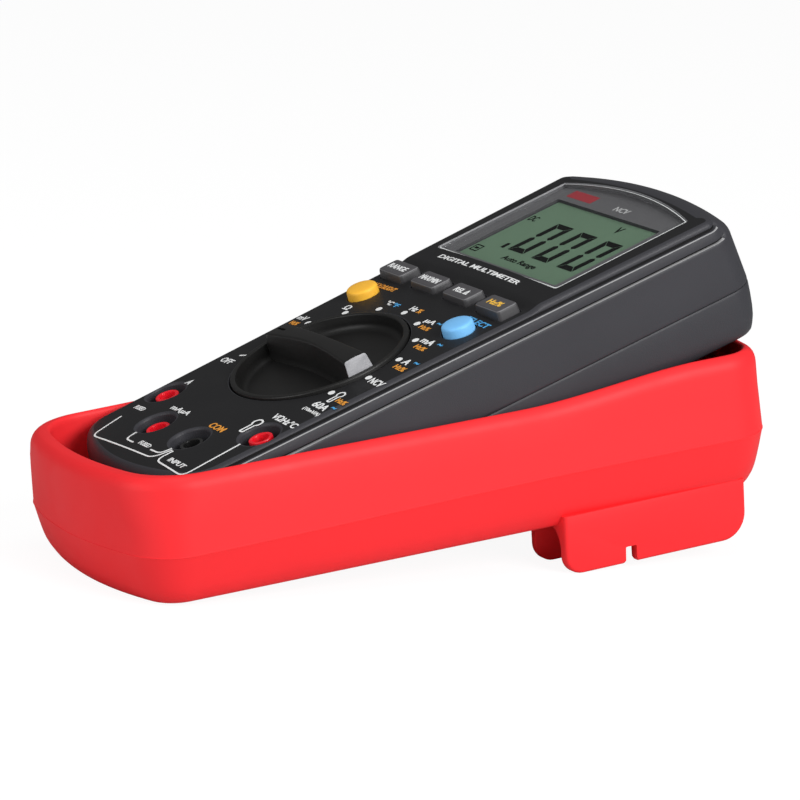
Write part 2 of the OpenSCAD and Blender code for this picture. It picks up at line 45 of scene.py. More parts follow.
JOINTS = {j["name"]: j for j in frame["joints"]}
MOUNTS = {m["name"]: m for m in RECORD["mounts"]}
SCENE = bpy.context.scene
SCENE.view_settings.view_transform = "Standard"

# ---- the two frames the CAD is drawn in, in millimetres
dial_joint = JOINTS["dial_turn"]
face_axis = dial_joint["axis"]
MM = Matrix.Scale(0.001, 4)
METER = (Matrix.Translation(dial_joint["pos_m"])
         @ Matrix.Rotation(math.atan2(-face_axis[1], face_axis[2]), 4, "X") @ MM)
channel = MOUNTS["probe_channel_right"]
CHANNEL_X, CHANNEL_Y, CHANNEL_Z = 31.5, 149.45, -6.3
holster_turn = Matrix.Rotation(math.atan2(channel["axis"][2], channel["axis"][1]), 4, "X")
HOLSTER = (Matrix.Translation(channel["pos_m"]) @ holster_turn @ MM
           @ Matrix.Translation((-CHANNEL_X, -CHANNEL_Y, -CHANNEL_Z)))


# ---- mesh tools
def smooth_step(t):
    """0 below 0, 1 above 1 and an S-curve between."""
    t = np.clip(t, 0, 1)
    return t * t * (3 - 2 * t)


def shade(obj, angle=40):
    """Smooth shading, with sharp edges where faces meet at more than angle degrees."""
    obj.data.shade_smooth()
    obj.data.set_sharp_from_angle(angle=math.radians(angle))


def mesh_object(name, verts, faces, place=None, angle=40, mats=()):
    """A mesh piece; place turns its own millimetres into the row frame."""
    mesh = bpy.data.meshes.new(name)
    mesh.from_pydata([tuple(map(float, v)) for v in verts], [], [tuple(map(int, f)) for f in faces])
    if place is not None:
        mesh.transform(place)
    mesh.update()
    obj = bpy.data.objects.new(name, mesh)
    SCENE.collection.objects.link(obj)
    shade(obj, angle)
    for m in mats:
        mesh.materials.append(m)
    return obj


def bake(obj):
    """Applies the modifiers of obj."""
    graph = bpy.context.evaluated_depsgraph_get()
    graph.update()
    mesh = bpy.data.meshes.new_from_object(obj.evaluated_get(graph))
    old = obj.data
    obj.modifiers.clear()
    obj.data = mesh
    bpy.data.meshes.remove(old)
    return obj


def combine(obj, other, operation):
    """obj becomes its union, difference or intersection with other, which goes."""
    m = obj.modifiers.new("cut", "BOOLEAN")
    m.object, m.operation, m.solver = other, operation, "EXACT"
    bake(obj)
    bpy.data.objects.remove(other)
    return obj


def cut(obj, solid):
    """Takes a solid, given as vertices and faces, away from obj."""
    return combine(obj, mesh_object("tool", *solid), "DIFFERENCE")


def bevel(obj, width, segments=2, angle=35):
    """Rounds the edges of obj that are sharper than angle degrees."""
    m = obj.modifiers.new("edge", "BEVEL")
    m.width, m.segments = width, segments
    m.limit_method, m.angle_limit = "ANGLE", math.radians(angle)
    return bake(obj)


def join(name, parts):
    """One piece out of several, which go."""
    verts, faces, mats, index = [], [], [], []
    for p in parts:
        base = len(verts)
        verts += [v.co[:] for v in p.data.vertices]
        for m in p.data.materials:
            if m not in mats:
                mats.append(m)
        for f in p.data.polygons:
            faces.append([base + i for i in f.vertices])
            index.append(mats.index(p.data.materials[f.material_index]) if p.data.materials else 0)
        bpy.data.objects.remove(p)
    out = mesh_object(name, verts, faces, mats=mats)
    out.data.polygons.foreach_set("material_index", index)
    return out


def loft(rings, cap_low=True, cap_high=True):
    """Vertices and faces through closed rings of equal length, from low to high."""
    n = len(rings[0])
    verts = [p for ring in rings for p in ring]
    faces = []
    for k in range(len(rings) - 1):
        a, b = k * n, (k + 1) * n
        faces += [(a + i, a + (i + 1) % n, b + (i + 1) % n, b + i) for i in range(n)]
    if cap_low:
        faces.append(tuple(range(n - 1, -1, -1)))
    if cap_high:
        faces.append(tuple((len(rings) - 1) * n + i for i in range(n)))
    return verts, faces


def revolve(profile, segments=96, centre=(0, 0)):
    """Solid of revolution about z through (radius, z) points listed from low to high."""
    x, y = centre
    turns = [2 * math.pi * i / segments for i in range(segments)]
    return loft([[(x + r * math.cos(a), y + r * math.sin(a), z) for a in turns] for r, z in profile])


def fillet(centre, r, a0, a1, n):
    """Points on an arc between two angles in degrees."""
    x, y = centre
    return [(x + r * math.cos(a), y + r * math.sin(a)) for a in np.radians(np.linspace(a0, a1, n + 1))]


def circle(c, r, n=72):
    """Closed ring of n points."""
    return fillet(c, r, 0, 360, n)[:-1]


def rounded_rect(w, l, r, n=5):
    """Closed rectangle round the origin, with n steps in each rounded corner."""
    pts = []
    for cx, cy, a in ((1, -1, -90), (1, 1, 0), (-1, 1, 90), (-1, -1, 180)):
        pts += fillet((cx * (w / 2 - r), cy * (l / 2 - r)), r, a, a + 90, n)
    return pts


def stack(levels):
    """Rounded-box solid through (z, width, length, corner radius) levels round the origin."""
    return loft([[(x, y, z) for x, y in rounded_rect(w, l, r)] for z, w, l, r in levels])


def moved(solid, x=0, y=0, z=0):
    """The same vertices and faces somewhere else."""
    verts, faces = solid
    return [(p[0] + x, p[1] + y, p[2] + z) for p in verts], faces


# ---- outlines, as in the CAD
class Outline:
    """Flared outline with arched ends and rounded corners; ring(inset) moves it inwards."""

    def __init__(self, half_w, flare, y0, y1, r0, r1, corner0, corner1):
        self.flare, self.r, self.corner = flare, (r0, r1), (corner0, corner1)
        self.c0, self.c1 = np.array([0, y0 + r0]), np.array([0, y1 - r1])
        self.side = -math.atan(flare)
        self.f0 = self.corner_centre(half_w, self.c0[1], r0, corner0, -1)
        self.f1 = self.corner_centre(half_w, self.c1[1], r1, corner1, 1)
        self.a0 = math.atan2(*(self.f0 - self.c0)[::-1])
        self.a1 = math.atan2(*(self.f1 - self.c1)[::-1])

    def corner_centre(self, half_w, cy, r, corner, sign):
        """Centre of the corner arc that touches the flared side and the end arc."""
        q = 1 + self.flare**2
        a = half_w - corner * math.sqrt(q)
        h = a * self.flare - cy
        y = (-h + sign * math.sqrt(h * h - q * (a * a + cy * cy - (r - corner) ** 2))) / q
        return np.array([a + self.flare * y, y])

    def parts(self, inset, n_end=12, n_corner=12, rows=()):
        """Right half as three runs: half the near end, the side with its corners, half the far end."""
        (r0, r1), (k0, k1) = self.r, self.corner

        def run(centre, r, a, b, n):
            turns = np.linspace(a, b, n + 1)
            return [centre + (r - inset) * np.array([math.cos(t), math.sin(t)]) for t in turns]

        half = n_corner // 2
        mid0, mid1 = (self.a0 + self.side) / 2, (self.side + self.a1) / 2
        near = run(self.c0, r0, -math.pi / 2, self.a0, n_end)
        near += run(self.f0, k0, self.a0, mid0, half)[1:]
        across = np.array([math.cos(self.side), math.sin(self.side)])
        s0, s1 = self.f0 + (k0 - inset) * across, self.f1 + (k1 - inset) * across
        y0, y1 = (self.f0 + k0 * across)[1], (self.f1 + k1 * across)[1]
        side = run(self.f0, k0, mid0, self.side, half)
        side += [s0 + (s1 - s0) * (y - y0) / (y1 - y0) for y in rows if y0 + 0.2 < y < y1 - 0.2]
        side += run(self.f1, k1, self.side, mid1, half)
        far = run(self.f1, k1, mid1, self.a1, half)
        far += run(self.c1, r1, self.a1, math.pi / 2, n_end)[1:]
        return near, side, far

    def ring(self, inset, **layout):
        """The whole outline as one closed ring."""
        near, side, far = self.parts(inset, **layout)
        half = near + side[1:] + far[1:]
        return half + [np.array([-p[0], p[1]]) for p in half[-2:0:-1]]


CASE = Outline(35.4, 0.033, -64, 110, 65, 155, 11, 8)
DIAL_IN_HOLSTER, HOLSTER_L = 75.7, 190
HOLSTER_Y0, HOLSTER_Y1, TOE_WALL = -DIAL_IN_HOLSTER, HOLSTER_L - DIAL_IN_HOLSTER, 1.8
HOLSTER_OUT = Outline(41, 0.03, HOLSTER_Y0, HOLSTER_Y1, 100, 200, 20, 14)
HOLSTER_LOW = Outline(41, 0.03, HOLSTER_Y0, HOLSTER_Y1, 100, 200, 15, 14)
HOLSTER_IN = Outline(41, 0.03, HOLSTER_Y0 + TOE_WALL, HOLSTER_Y1, 100, 200, 20, 14)


# ---- materials
def noise(tree, scale, detail):
    """Grey noise in the object's own coordinates."""
    coord, n = tree.nodes.new("ShaderNodeTexCoord"), tree.nodes.new("ShaderNodeTexNoise")
    n.inputs["Scale"].default_value, n.inputs["Detail"].default_value = scale, detail
    tree.links.new(coord.outputs["Object"], n.inputs["Vector"])
    return n.outputs["Fac"]


def colour_drift(tree, color, tint, scale):
    """The colour, drifting by a share tint to either side."""
    mix = tree.nodes.new("ShaderNodeMix")
    mix.data_type = "RGBA"
    mix.inputs["A"].default_value = (*[c * (1 - tint) for c in color], 1)
    mix.inputs["B"].default_value = (*[min(1, c * (1 + tint)) for c in color], 1)
    tree.links.new(noise(tree, scale, 3), mix.inputs["Factor"])
    return mix.outputs["Result"]


def roughness_drift(tree, rough, spread):
    """Roughness that drifts by spread to either side."""
    span = tree.nodes.new("ShaderNodeMapRange")
    for socket, value in (("From Min", 0.3), ("From Max", 0.7), ("To Min", rough - spread),
                          ("To Max", rough + spread)):
        span.inputs[socket].default_value = value
    tree.links.new(noise(tree, 90, 3), span.inputs["Value"])
    return span.outputs["Result"]


def grain_normal(tree, grain, scale):
    """Fine moulded grain."""
    bump = tree.nodes.new("ShaderNodeBump")
    bump.inputs["Strength"].default_value, bump.inputs["Distance"].default_value = grain, 0.00006
    tree.links.new(noise(tree, scale, 2), bump.inputs["Height"])
    return bump.outputs["Normal"]


LOOKS = {}


def material(name, color, rough=0.5, grain=0.0, grain_scale=3500, tint=0.03, tint_scale=40, rough_var=0.04,
             metal=0.0, specular=0.5, coat=0.0, sub=0.0, alpha=1.0):
    """Moulded, printed or plated surface: colour drift, roughness drift and a fine grain in the bump."""
    m = bpy.data.materials.new(name)
    m.use_nodes = True
    tree = m.node_tree
    s = tree.nodes["Principled BSDF"].inputs
    for socket, value in (("Roughness", rough), ("Metallic", metal), ("Specular IOR Level", specular),
                          ("Coat Weight", coat), ("Coat Roughness", 0.2), ("Subsurface Weight", sub),
                          ("Subsurface Scale", 0.0006), ("Alpha", alpha)):
        s[socket].default_value = value
    tree.links.new(colour_drift(tree, color, tint, tint_scale), s["Base Color"])
    tree.links.new(roughness_drift(tree, rough, rough_var), s["Roughness"])
    if grain:
        tree.links.new(grain_normal(tree, grain, grain_scale), s["Normal"])
    LOOKS[name] = m
    return m


RED = material("holster_rubber", (0.9, 0.024, 0.03), 0.52, 0.22, 2600, tint=0.04, specular=0.26)
CHARCOAL = material("case_plastic", (0.036, 0.036, 0.042), 0.48, 0.7, 3200, tint=0.12, specular=0.3)
# painted shade: the crowned face is a darker copy of the case plastic, since it faces away from the light
FACE = material("face_plastic", (0.014, 0.014, 0.015), 0.5, 0.3, 3600, tint=0.1, specular=0.2)
# painted highlight: light grey on the convex edges beside the grooves, standing in for bright lines of light
EDGE = material("painted_edge_highlight", (0.3, 0.3, 0.305), 0.35, 0.2, 3000, tint=0.1)
# painted shade: near-black in the bottoms of the grooves, where shade falls
GROOVE = material("groove_shade", (0.004, 0.004, 0.004), 0.7, 0.3, specular=0.2)
DIAL = material("dial_plastic", (0.009, 0.0088, 0.0085), 0.42, 0.35, 3200, tint=0.1, specular=0.35)
# painted highlight: light grey on the lit end facet of the dial's handle
FACET = material("dial_facet_painted_highlight", (0.26, 0.26, 0.275), 0.4, 0.8, 2600, tint=0.06)
KEY_TOP = material("key_top", (0.075, 0.073, 0.078), 0.5, 0.35, 3000, tint=0.06, specular=0.3)
# painted highlight: lighter grey on the rounded rims of the keys
KEY_RIM_HIGHLIGHT = material("key_edge_painted_highlight", (0.15, 0.148, 0.155), 0.45, 0.3, 3000, tint=0.06)
LEDGE = material("window_ledge", (0.2, 0.2, 0.21), 0.5, 0.3, 2600, tint=0.08)
KEY = material("key_rubber", (0.045, 0.044, 0.047), 0.5, 0.35, 3000, tint=0.06)
YELLOW = material("yellow_rubber", (1.0, 0.52, 0.05), 0.45, 0.15, specular=0.25)
BLUE = material("blue_rubber", (0.2, 0.53, 0.93), 0.45, 0.15, specular=0.25)
COLLAR_RED = material("collar_red_plastic", (0.8, 0.008, 0.02), 0.28, 0.1, sub=0.1)
COLLAR_BLACK = material("collar_black", (0.01, 0.01, 0.01), 0.22, 0.1)
material("spring_brass", (0.72, 0.55, 0.3), 0.3, 0.15, 1500, tint=0.08, metal=1.0)
material("bright_steel", (0.62, 0.62, 0.63), 0.3, 0.15, 1800, tint=0.05, metal=1.0)
LENS = material("window_clear", (0.02, 0.022, 0.022), 0.05, tint=0.01, rough_var=0.01, alpha=0.16)
# painted highlight: near-white on the window's rounded edge, standing in for the bright lines of light along it
LENS_EDGE_HIGHLIGHT = material("window_edge_painted_highlight", (0.8, 0.82, 0.82), 0.2, 0.1, tint=0.02)
LCD = material("lcd_film", (0.22, 0.36, 0.24), 0.5, 0.0, tint_scale=25, specular=0.1)
INK = material("lcd_ink", (0.003, 0.004, 0.003), 0.5, specular=0.0)
WHITE = material("print_white", (0.85, 0.86, 0.86), 0.5, 0.1)
ORANGE = material("print_orange", (0.8, 0.33, 0.04), 0.5, 0.1)
CYAN = material("print_blue", (0.08, 0.4, 0.78), 0.5, 0.1)
AMBER = material("print_amber", (0.95, 0.55, 0.06), 0.5, 0.1)
PATCH = material("patch_red", (0.6, 0.05, 0.07), 0.4, 0.1)
material("board_laminate", (0.02, 0.13, 0.05), 0.35, 0.2, 1200, tint=0.15, coat=0.3)
material("white_nylon", (0.78, 0.78, 0.74), 0.45, 0.3)
material("black_plastic", (0.02, 0.02, 0.02), 0.4, 0.3, tint=0.1)
material("zebra_rubber", (0.6, 0.25, 0.3), 0.6, 0.3, tint=0.15, tint_scale=900)
material("mat_silicone", (0.2, 0.2, 0.21), 0.6, 0.3)
material("blue_epoxy", (0.06, 0.14, 0.42), 0.25, 0.1, tint=0.1)
material("shunt_alloy", (0.55, 0.4, 0.28), 0.35, 0.2, tint=0.08, metal=1.0)
material("fuse_ceramic", (0.8, 0.78, 0.7), 0.4, 0.2)
material("cell_jacket", (0.05, 0.1, 0.22), 0.25, 0.1, tint=0.1, coat=0.4)
material("backlight_acrylic", (0.8, 0.84, 0.76), 0.3, 0.1)

SLOT_OF = {s["node"]: s["material_slot"] for s in RECORD["subparts"]}
for node_name, node_object in NODES.items():
    node_object.data.materials.clear()
    node_object.data.materials.append(LOOKS[SLOT_OF[node_name]])
    shade(node_object, 35)


def settle(piece, body, slot, *nodes):
    """piece rides on body and stands for nodes; slot is not used."""
    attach(piece, body)
    if nodes:
        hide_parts(*nodes)
    return piece


def local_box(node):
    """Lowest and highest corners of a CAD node in the meter's own frame."""
    inverse = METER.inverted()
    co = np.array([inverse @ v.co for v in NODES[node].data.vertices])
    return co.min(0), co.max(0)


def centre_of(node):
    """(x, y) centre of a CAD node in the meter's own frame."""
    low, high = local_box(node)
    return (low[0] + high[0]) / 2, (low[1] + high[1]) / 2


# ---- camera, at the photograph's viewing angle
CAMERA_AT = Vector((0.9877, -0.5647, 0.286))
AZIMUTH, ELEVATION, ROLL = (math.radians(a) for a in (-29.843, 12.212, 2.33))
cam_data = bpy.data.cameras.new("camera")
cam_data.lens, cam_data.sensor_width, cam_data.clip_end = 202.55, 36, 20
camera = bpy.data.objects.new("camera", cam_data)
SCENE.collection.objects.link(camera)
camera.matrix_world = (Matrix.Translation(CAMERA_AT) @ Matrix.Rotation(AZIMUTH + math.pi / 2, 4, "Z")
                       @ Matrix.Rotation(math.pi / 2 - ELEVATION, 4, "X")
                       @ Matrix.Rotation(ROLL, 4, "Z"))
SCENE.camera = camera

# ---- holster
RIM_H, RIM_T, TOE_LEAN = 33.0, 5.0, 1.6
PAD_Y, TOE_Y, TOE_Z, TOE_SLOPE, TOE_SOFT, TOE_REACH = 9.5, 3.4, 0.66, math.radians(55), 0.35, 3


def rim_at(y):
    """Height of the rim: level in front, one gentle step up towards the display end."""
    return RIM_H + 4 * smooth_step((y - 112) / 56)


def parting_share(y):
    """The parting line drops a little towards the jack end."""
    return 1 - 0.12 * (1 - smooth_step((y - 10) / 125))


def soft_lift(d):
    """How far a point at distance d over a plane is lifted: enough to reach it, with a soft turn."""
    def pull(s):
        return 0.5 * (math.sqrt(s * s + TOE_SOFT**2) - s)

    return max(0, pull(d) - pull(TOE_REACH))


def toe(p):
    """Presses a point up onto the flat pad and the sloped facet under the jack end."""
    x, y, z = p
    z = max(z, (PAD_Y - y) * (TOE_Z / (PAD_Y - TOE_Y)))
    lift = soft_lift((z - TOE_Z - (TOE_Y - y) * math.tan(TOE_SLOPE)) * math.cos(TOE_SLOPE))
    return (x, y + lift * math.sin(TOE_SLOPE), z + lift * math.cos(TOE_SLOPE))


def toe_lean(y, height):
    """Under its rim the jack end leans inwards."""
    return TOE_LEAN * (1 - smooth_step(y / 26)) * smooth_step((30 - height) / 16)


def holster_ring(outline, inset, z=None, drop=None):
    """Ring at height z or at a drop below the rim; the outside has tighter corners low down."""
    layout = dict(n_end=12, n_corner=16, rows=np.arange(-48, 90, 3.0))
    outside = outline is HOLSTER_OUT
    low = HOLSTER_LOW if outside else outline
    share = 1 if z is None else float(smooth_step((z - 15.5) / 14))
    points = []
    for p, q in zip(low.ring(inset, **layout), outline.ring(inset, **layout)):
        x, y = p + (q - p) * share + (0, DIAL_IN_HOLSTER)
        height = rim_at(y) - drop if z is None else z * parting_share(y) if z < 16 else z
        lean = toe_lean(y, height) if outside else 0
        points.append(toe((x, y + lean, height)))
    return points


def holster_body():
    """One skin: up the outside with its parting line, over the rounded rim and down into the pocket."""
    rings = [holster_ring(HOLSTER_OUT, i, 0) for i in (13, 12, 11, 10, 9, 8.2, 7.4)]
    rings += [holster_ring(HOLSTER_OUT, i, z) for z, i in
              ((0.02, 6.8), (0.15, 6.2), (0.45, 5.6), (0.95, 5.05), (1.65, 4.45), (2.5, 3.9), (3.5, 3.3),
               (4.7, 2.75), (6, 2.3), (8, 1.75), (10.5, 1.15), (13, 0.6), (14.6, 0.25), (15.0, 0.16),
               (15.1, 0.03), (15.3, 0.03), (15.4, 0.13), (15.95, 0.17), (19, 0.4), (23, 0.7), (27, 1.0))]
    rings += [holster_ring(HOLSTER_OUT, i, drop=d) for d, i in
              ((4.2, 1.25), (3.2, 1.36), (2.4, 1.55), (1.7, 1.85), (1.1, 2.25), (0.62, 2.75), (0.25, 3.3),
               (0.05, 3.8))]
    rings += [holster_ring(HOLSTER_IN, RIM_T - i, drop=d) for d, i in
              ((0.0, 0.9), (0.05, 0.65), (0.25, 0.38), (0.6, 0.15), (1.1, 0.02), (2.0, 0.0), (4.0, 0.0))]
    rings += [holster_ring(HOLSTER_IN, i, z) for z, i in
              ((24, 5.0), (12, 5.05), (9, 5.15), (7, 5.35), (6, 5.7), (5.2, 6.2), (4.6, 6.8), (4.2, 7.6),
               (4.1, 8.6), (4.1, 12))]
    return mesh_object("holster_body", *loft(rings), mats=[RED])


FOOT_X0, FOOT_X1, FOOT_Y0, FOOT_Y1, FOOT_LOW, FOOT_TOP = 22.5, 40.5, 122.2, 177.3, -12.7, 3.2
FRONT_R, REAR_R, CHANNEL_R, SLOT_Y = 5, 7, 6.25, 141.7


def foot_profile(inset):
    """Side view of a foot, moved inwards by inset; its upper part is buried in the body."""
    y0, y1, low = FOOT_Y0 + inset, FOOT_Y1 - inset, FOOT_LOW + inset
    front = fillet((FOOT_Y0 + FRONT_R, FOOT_LOW + FRONT_R), FRONT_R - inset, 180, 270, 8)
    rear = fillet((FOOT_Y1 - REAR_R, FOOT_LOW + REAR_R), REAR_R - inset, 270, 360, 10)
    return ([(y0, FOOT_TOP), (y0, 0.4), (y0, -2.6)] + front + [(y, low) for y in (139, 144, 155)] + rear
            + [(y1, -2), (y1, 1.0), (y1, FOOT_TOP)])


def probe_channel():
    """Cutter for the channel: a half-round roof over an open lower end."""
    arch = fillet((CHANNEL_X, CHANNEL_Z), CHANNEL_R, 0, 180, 28)
    arch += [(CHANNEL_X - CHANNEL_R, -30), (CHANNEL_X + CHANNEL_R, -30)]
    return loft([[(x, y, z) for x, z in arch[::-1]] for y in (110, 190)])


def guard_slot():
    """Cutter for the cross slot that takes a probe's finger guard; it widens at its mouth."""
    half = [(1.6, -8.4), (1.7, -11.8), (2.3, -12.75), (2.3, -20)]
    outline = [(-1.4, -8.2), (1.4, -8.2)] + half + [(-y, z) for y, z in reversed(half)]
    return loft([[(x, SLOT_Y + y, z) for y, z in outline[::-1]] for x in (10, 60)])


def foot():
    """Right foot, with rounded long edges."""
    stations = [(FOOT_X0, 0.9), (FOOT_X0 + 0.12, 0.45), (FOOT_X0 + 0.45, 0.12), (FOOT_X0 + 0.9, 0),
                (FOOT_X1 - 1.2, 0), (FOOT_X1 - 0.6, 0.12), (FOOT_X1 - 0.2, 0.42), (FOOT_X1, 0.95)]
    rings = [[(x, y, z) for y, z in foot_profile(inset)] for x, inset in stations]
    body = mesh_object("foot", *loft(rings), mats=[RED])
    cut(body, probe_channel())
    cut(body, guard_slot())
    return bevel(body, 0.3, 2, 50)


def feet():
    """Both feet; they are moulded in one with the body, which hides their upper ends."""
    right = foot()
    verts = [(-v.co.x, v.co.y, v.co.z) for v in right.data.vertices]
    faces = [tuple(reversed(f.vertices)) for f in right.data.polygons]
    right.data.transform(HOLSTER)
    left = mesh_object("foot_left", verts, faces, HOLSTER, mats=[RED])
    for obj, side in ((right, "right"), (left, "left")):
        shade(obj, 38)
        settle(obj, "holster", "holster_rubber", "holster_foot_" + side)


def holster():
    """Body of the holster, in place of its CAD solid."""
    body = holster_body()
    body.data.transform(HOLSTER)
    shade(body, 38)
    settle(body, "holster", "holster_rubber", "holster")


holster()
feet()

# ---- meter case
SPLIT, BLOCK_Y, BLOCK_RISE, FAR_R = -20.3, 43.8, 0.7, 8.2
GROOVE_FROM, GROOVE_TO = -58, 101.5
WALL_T, CEILING = 2.6, -2.9


def crown(x, y):
    """The face falls away towards its long edges."""
    return -1.15 * (x / (35.4 + 0.033 * y)) ** 2


def block_share(y):
    """Raised display block: a rounded ramp in front."""
    return smooth_step((y - BLOCK_Y) / 4.4)


def face_height(x, y):
    return crown(x, y) + BLOCK_RISE * block_share(y)


def end_draft(y, z):
    """The display end is widest at the joint between the two halves."""
    return 1.1 * smooth_step((y - 90) / 16) * max(0, 1 - abs(z - SPLIT) / 13.3)


def groove_share(y):
    """The two fine grooves run along the sides only."""
    return float(smooth_step((y - GROOVE_FROM) / 9) * (1 - smooth_step((y - GROOVE_TO) / 2.5)))


ROWS = np.unique(np.concatenate([np.arange(-60, 110, 2.0), np.arange(42.5, 49.6, 0.5),
                                 np.arange(98, 106, 0.6)]))
RING = dict(n_end=14, n_corner=16, rows=ROWS)
# (z, inset, share of the block's rise) along the sides, from the wall up over both grooves to the face
SIDE = [(-7, 0, 0), (-6.4, 0, 0), (-6.16, 0.05, 0), (-6.02, 0.17, 0), (-5.94, 0.36, 0), (-5.9, 1.2, 0),
        (-5.5, 1.25, 0), (-5.42, 0.82, 0), (-5.3, 0.66, 0), (-5.1, 0.62, 0), (-4, 0.76, 0), (-3.1, 0.86, 0),
        (-2.88, 0.92, 0), (-2.76, 1.05, 0), (-2.7, 1.3, 0), (-2.66, 2.3, 0), (-2.2, 2.4, 0), (-1.98, 2.0, 0),
        (-1.86, 1.9, 0), (-1.74, 1.88, 0.05), (-1.62, 1.92, 0.5), (-1.5, 2.02, 0.8), (-1.38, 2.2, 0.93),
        (-1.22, 2.6, 0.98), (-1.1, 3.0, 1.0)]
# levels whose faces carry a painted highlight along the groove edges, and painted shade in the bottoms of the
# grooves
EDGE_FACES, GROOVE_FACES = (3, 4, 12, 13), (5, 6, 15, 16)
TOP_INSET = 3.4


def shoulder_at(p, q, z0, z1, t, depth, bend):
    """Point of a rounded shoulder between the wall p and the face, a share t of the way up."""
    a = t * math.pi / 2
    inset = depth * (1 - math.cos(a)) ** bend
    top = p + (q - p) * depth / 10
    return z0 + (z1 + face_height(*top) - z0) * math.sin(a) ** bend, inset


def shoulder_ring(k):
    """Ring number k of the shoulder; its profile changes from the sides to either end."""
    z0, i0, rise = SIDE[k]
    t = k / len(SIDE)
    ring = []
    for p, q in zip(CASE.ring(0, **RING), CASE.ring(10, **RING)):
        y = p[1]
        g, far = groove_share(y), float(smooth_step((y - 99) / 8))
        z1, i1 = shoulder_at(p, q, -7, 0, t, TOP_INSET, 0.9)
        z2, i2 = shoulder_at(p, q, -7, 0, t, FAR_R, 1)
        z = z1 + (z0 + BLOCK_RISE * rise * block_share(y) - z1) * g
        inset = i1 + (i0 - i1) * g
        z, inset = z + (z2 - z) * far, inset + (i2 - inset) * far
        s = p + (q - p) * inset / 10
        ring.append((s[0], s[1] + end_draft(s[1], z), z))
    return ring


def top_ring():
    """Last ring, on the face itself."""
    plain, inner = CASE.ring(0, **RING), CASE.ring(10, **RING)
    ring = []
    for p, q in zip(plain, inner):
        inset = TOP_INSET + (FAR_R - TOP_INSET) * float(smooth_step((p[1] - 99) / 8))
        s = p + (q - p) * inset / 10
        ring.append((s[0], s[1], face_height(*s)))
    return ring


def face_grid(verts, faces, last, inset):
    """Fills the ring that starts at vertex number last with a grid on the crowned face."""
    near, side, _ = CASE.parts(inset, **RING)
    n_near, n_side = len(near) - 1, len(side) - 1
    n, across = 4 * n_near + 2 * n_side, 2 * n_near
    near_ids = [last + (i - n_near) % n for i in range(across + 1)]
    far_ids = [last + n_near + n_side + across - i for i in range(across + 1)]
    right_ids = [last + n_near + j for j in range(n_side + 1)]
    left_ids = [last + (n - n_near - j) % n for j in range(n_side + 1)]
    points = np.array(verts)
    low, high, left, right = points[near_ids], points[far_ids], points[left_ids], points[right_ids]
    us = (low[:, 0] - low[0, 0]) / (low[-1, 0] - low[0, 0])
    grid = np.zeros((n_side + 1, across + 1), int)
    for j in range(n_side + 1):
        v = j / n_side
        w0, w1 = max(0, 1 - v / 0.35) ** 2, max(0, (v - 0.65) / 0.35) ** 2
        for i, u in enumerate(us):
            if j in (0, n_side):
                grid[j, i] = (near_ids if j == 0 else far_ids)[i]
            elif i in (0, across):
                grid[j, i] = (left_ids if i == 0 else right_ids)[j]
            else:
                p = (left[j] * (1 - u) + right[j] * u + w0 * (low[i] - (low[0] * (1 - u) + low[-1] * u))
                     + w1 * (high[i] - (high[0] * (1 - u) + high[-1] * u)))
                verts.append((p[0], p[1], face_height(p[0], p[1])))
                grid[j, i] = len(verts) - 1
    faces += [(grid[j, i], grid[j, i + 1], grid[j + 1, i + 1], grid[j + 1, i])
              for j in range(n_side) for i in range(across)]


def front_shell():
    """Closed shell: outer wall, shoulder with its grooves, crowned face, inner wall and ceiling."""
    def flat(z, inset):
        return [(p[0], p[1] + end_draft(p[1], z), z) for p in CASE.ring(inset, **RING)]

    wall = [(SPLIT, WALL_T), (SPLIT, 1.3), (SPLIT, 0.45), (SPLIT + 0.08, 0.2), (SPLIT + 0.35, 0.05),
            (SPLIT + 0.8, 0), (-14, 0), (-10, 0)]
    rings = [flat(z, i) for z, i in wall] + [shoulder_ring(k) for k in range(len(SIDE))] + [top_ring()]
    n = len(rings[0])
    verts, faces = loft(rings, cap_low=False, cap_high=False)
    index = []
    grooved = [groove_share(p[1]) > 0.98 for p in CASE.ring(0, **RING)]
    for k in range(len(rings) - 1):
        level = k - len(wall)
        # look 2 is the painted highlight on the groove edges, look 3 the painted shade in the groove bottoms
        look = 2 if level in EDGE_FACES else 3 if level in GROOVE_FACES else 0
        index += [look if grooved[i] else 0 for i in range(n)]
    face_grid(verts, faces, len(verts) - n, TOP_INSET)
    # the crowned face takes the darker copy of the case plastic: painted shade
    index += [1] * (len(faces) - len(index))
    base = len(verts)
    verts += [(x, y, CEILING) for x, y, _ in flat(0, WALL_T)]
    faces += [(i, base + i, base + (i + 1) % n, (i + 1) % n) for i in range(n)]
    faces.append(tuple(base + n - 1 - i for i in range(n)))
    index += [0] * (len(faces) - len(index))
    shell = mesh_object("front_shell", verts, faces, mats=[CHARCOAL, FACE, EDGE, GROOVE, LEDGE])
    shell.data.polygons.foreach_set("material_index", index)
    return shell


JACKS = {}
for jack in ("amp", "milliamp", "com", "volt"):
    at = METER.inverted() @ Vector(MOUNTS["socket_" + jack]["pos_m"])
    JACKS[jack] = (at.x, at.y)
KEYS = ("range_key", "maxmin_key", "relative_key", "hertz_key")
BUTTONS = ("hold_button", "select_button")
WELL_R, DIAL_R = 5.2, 23.9


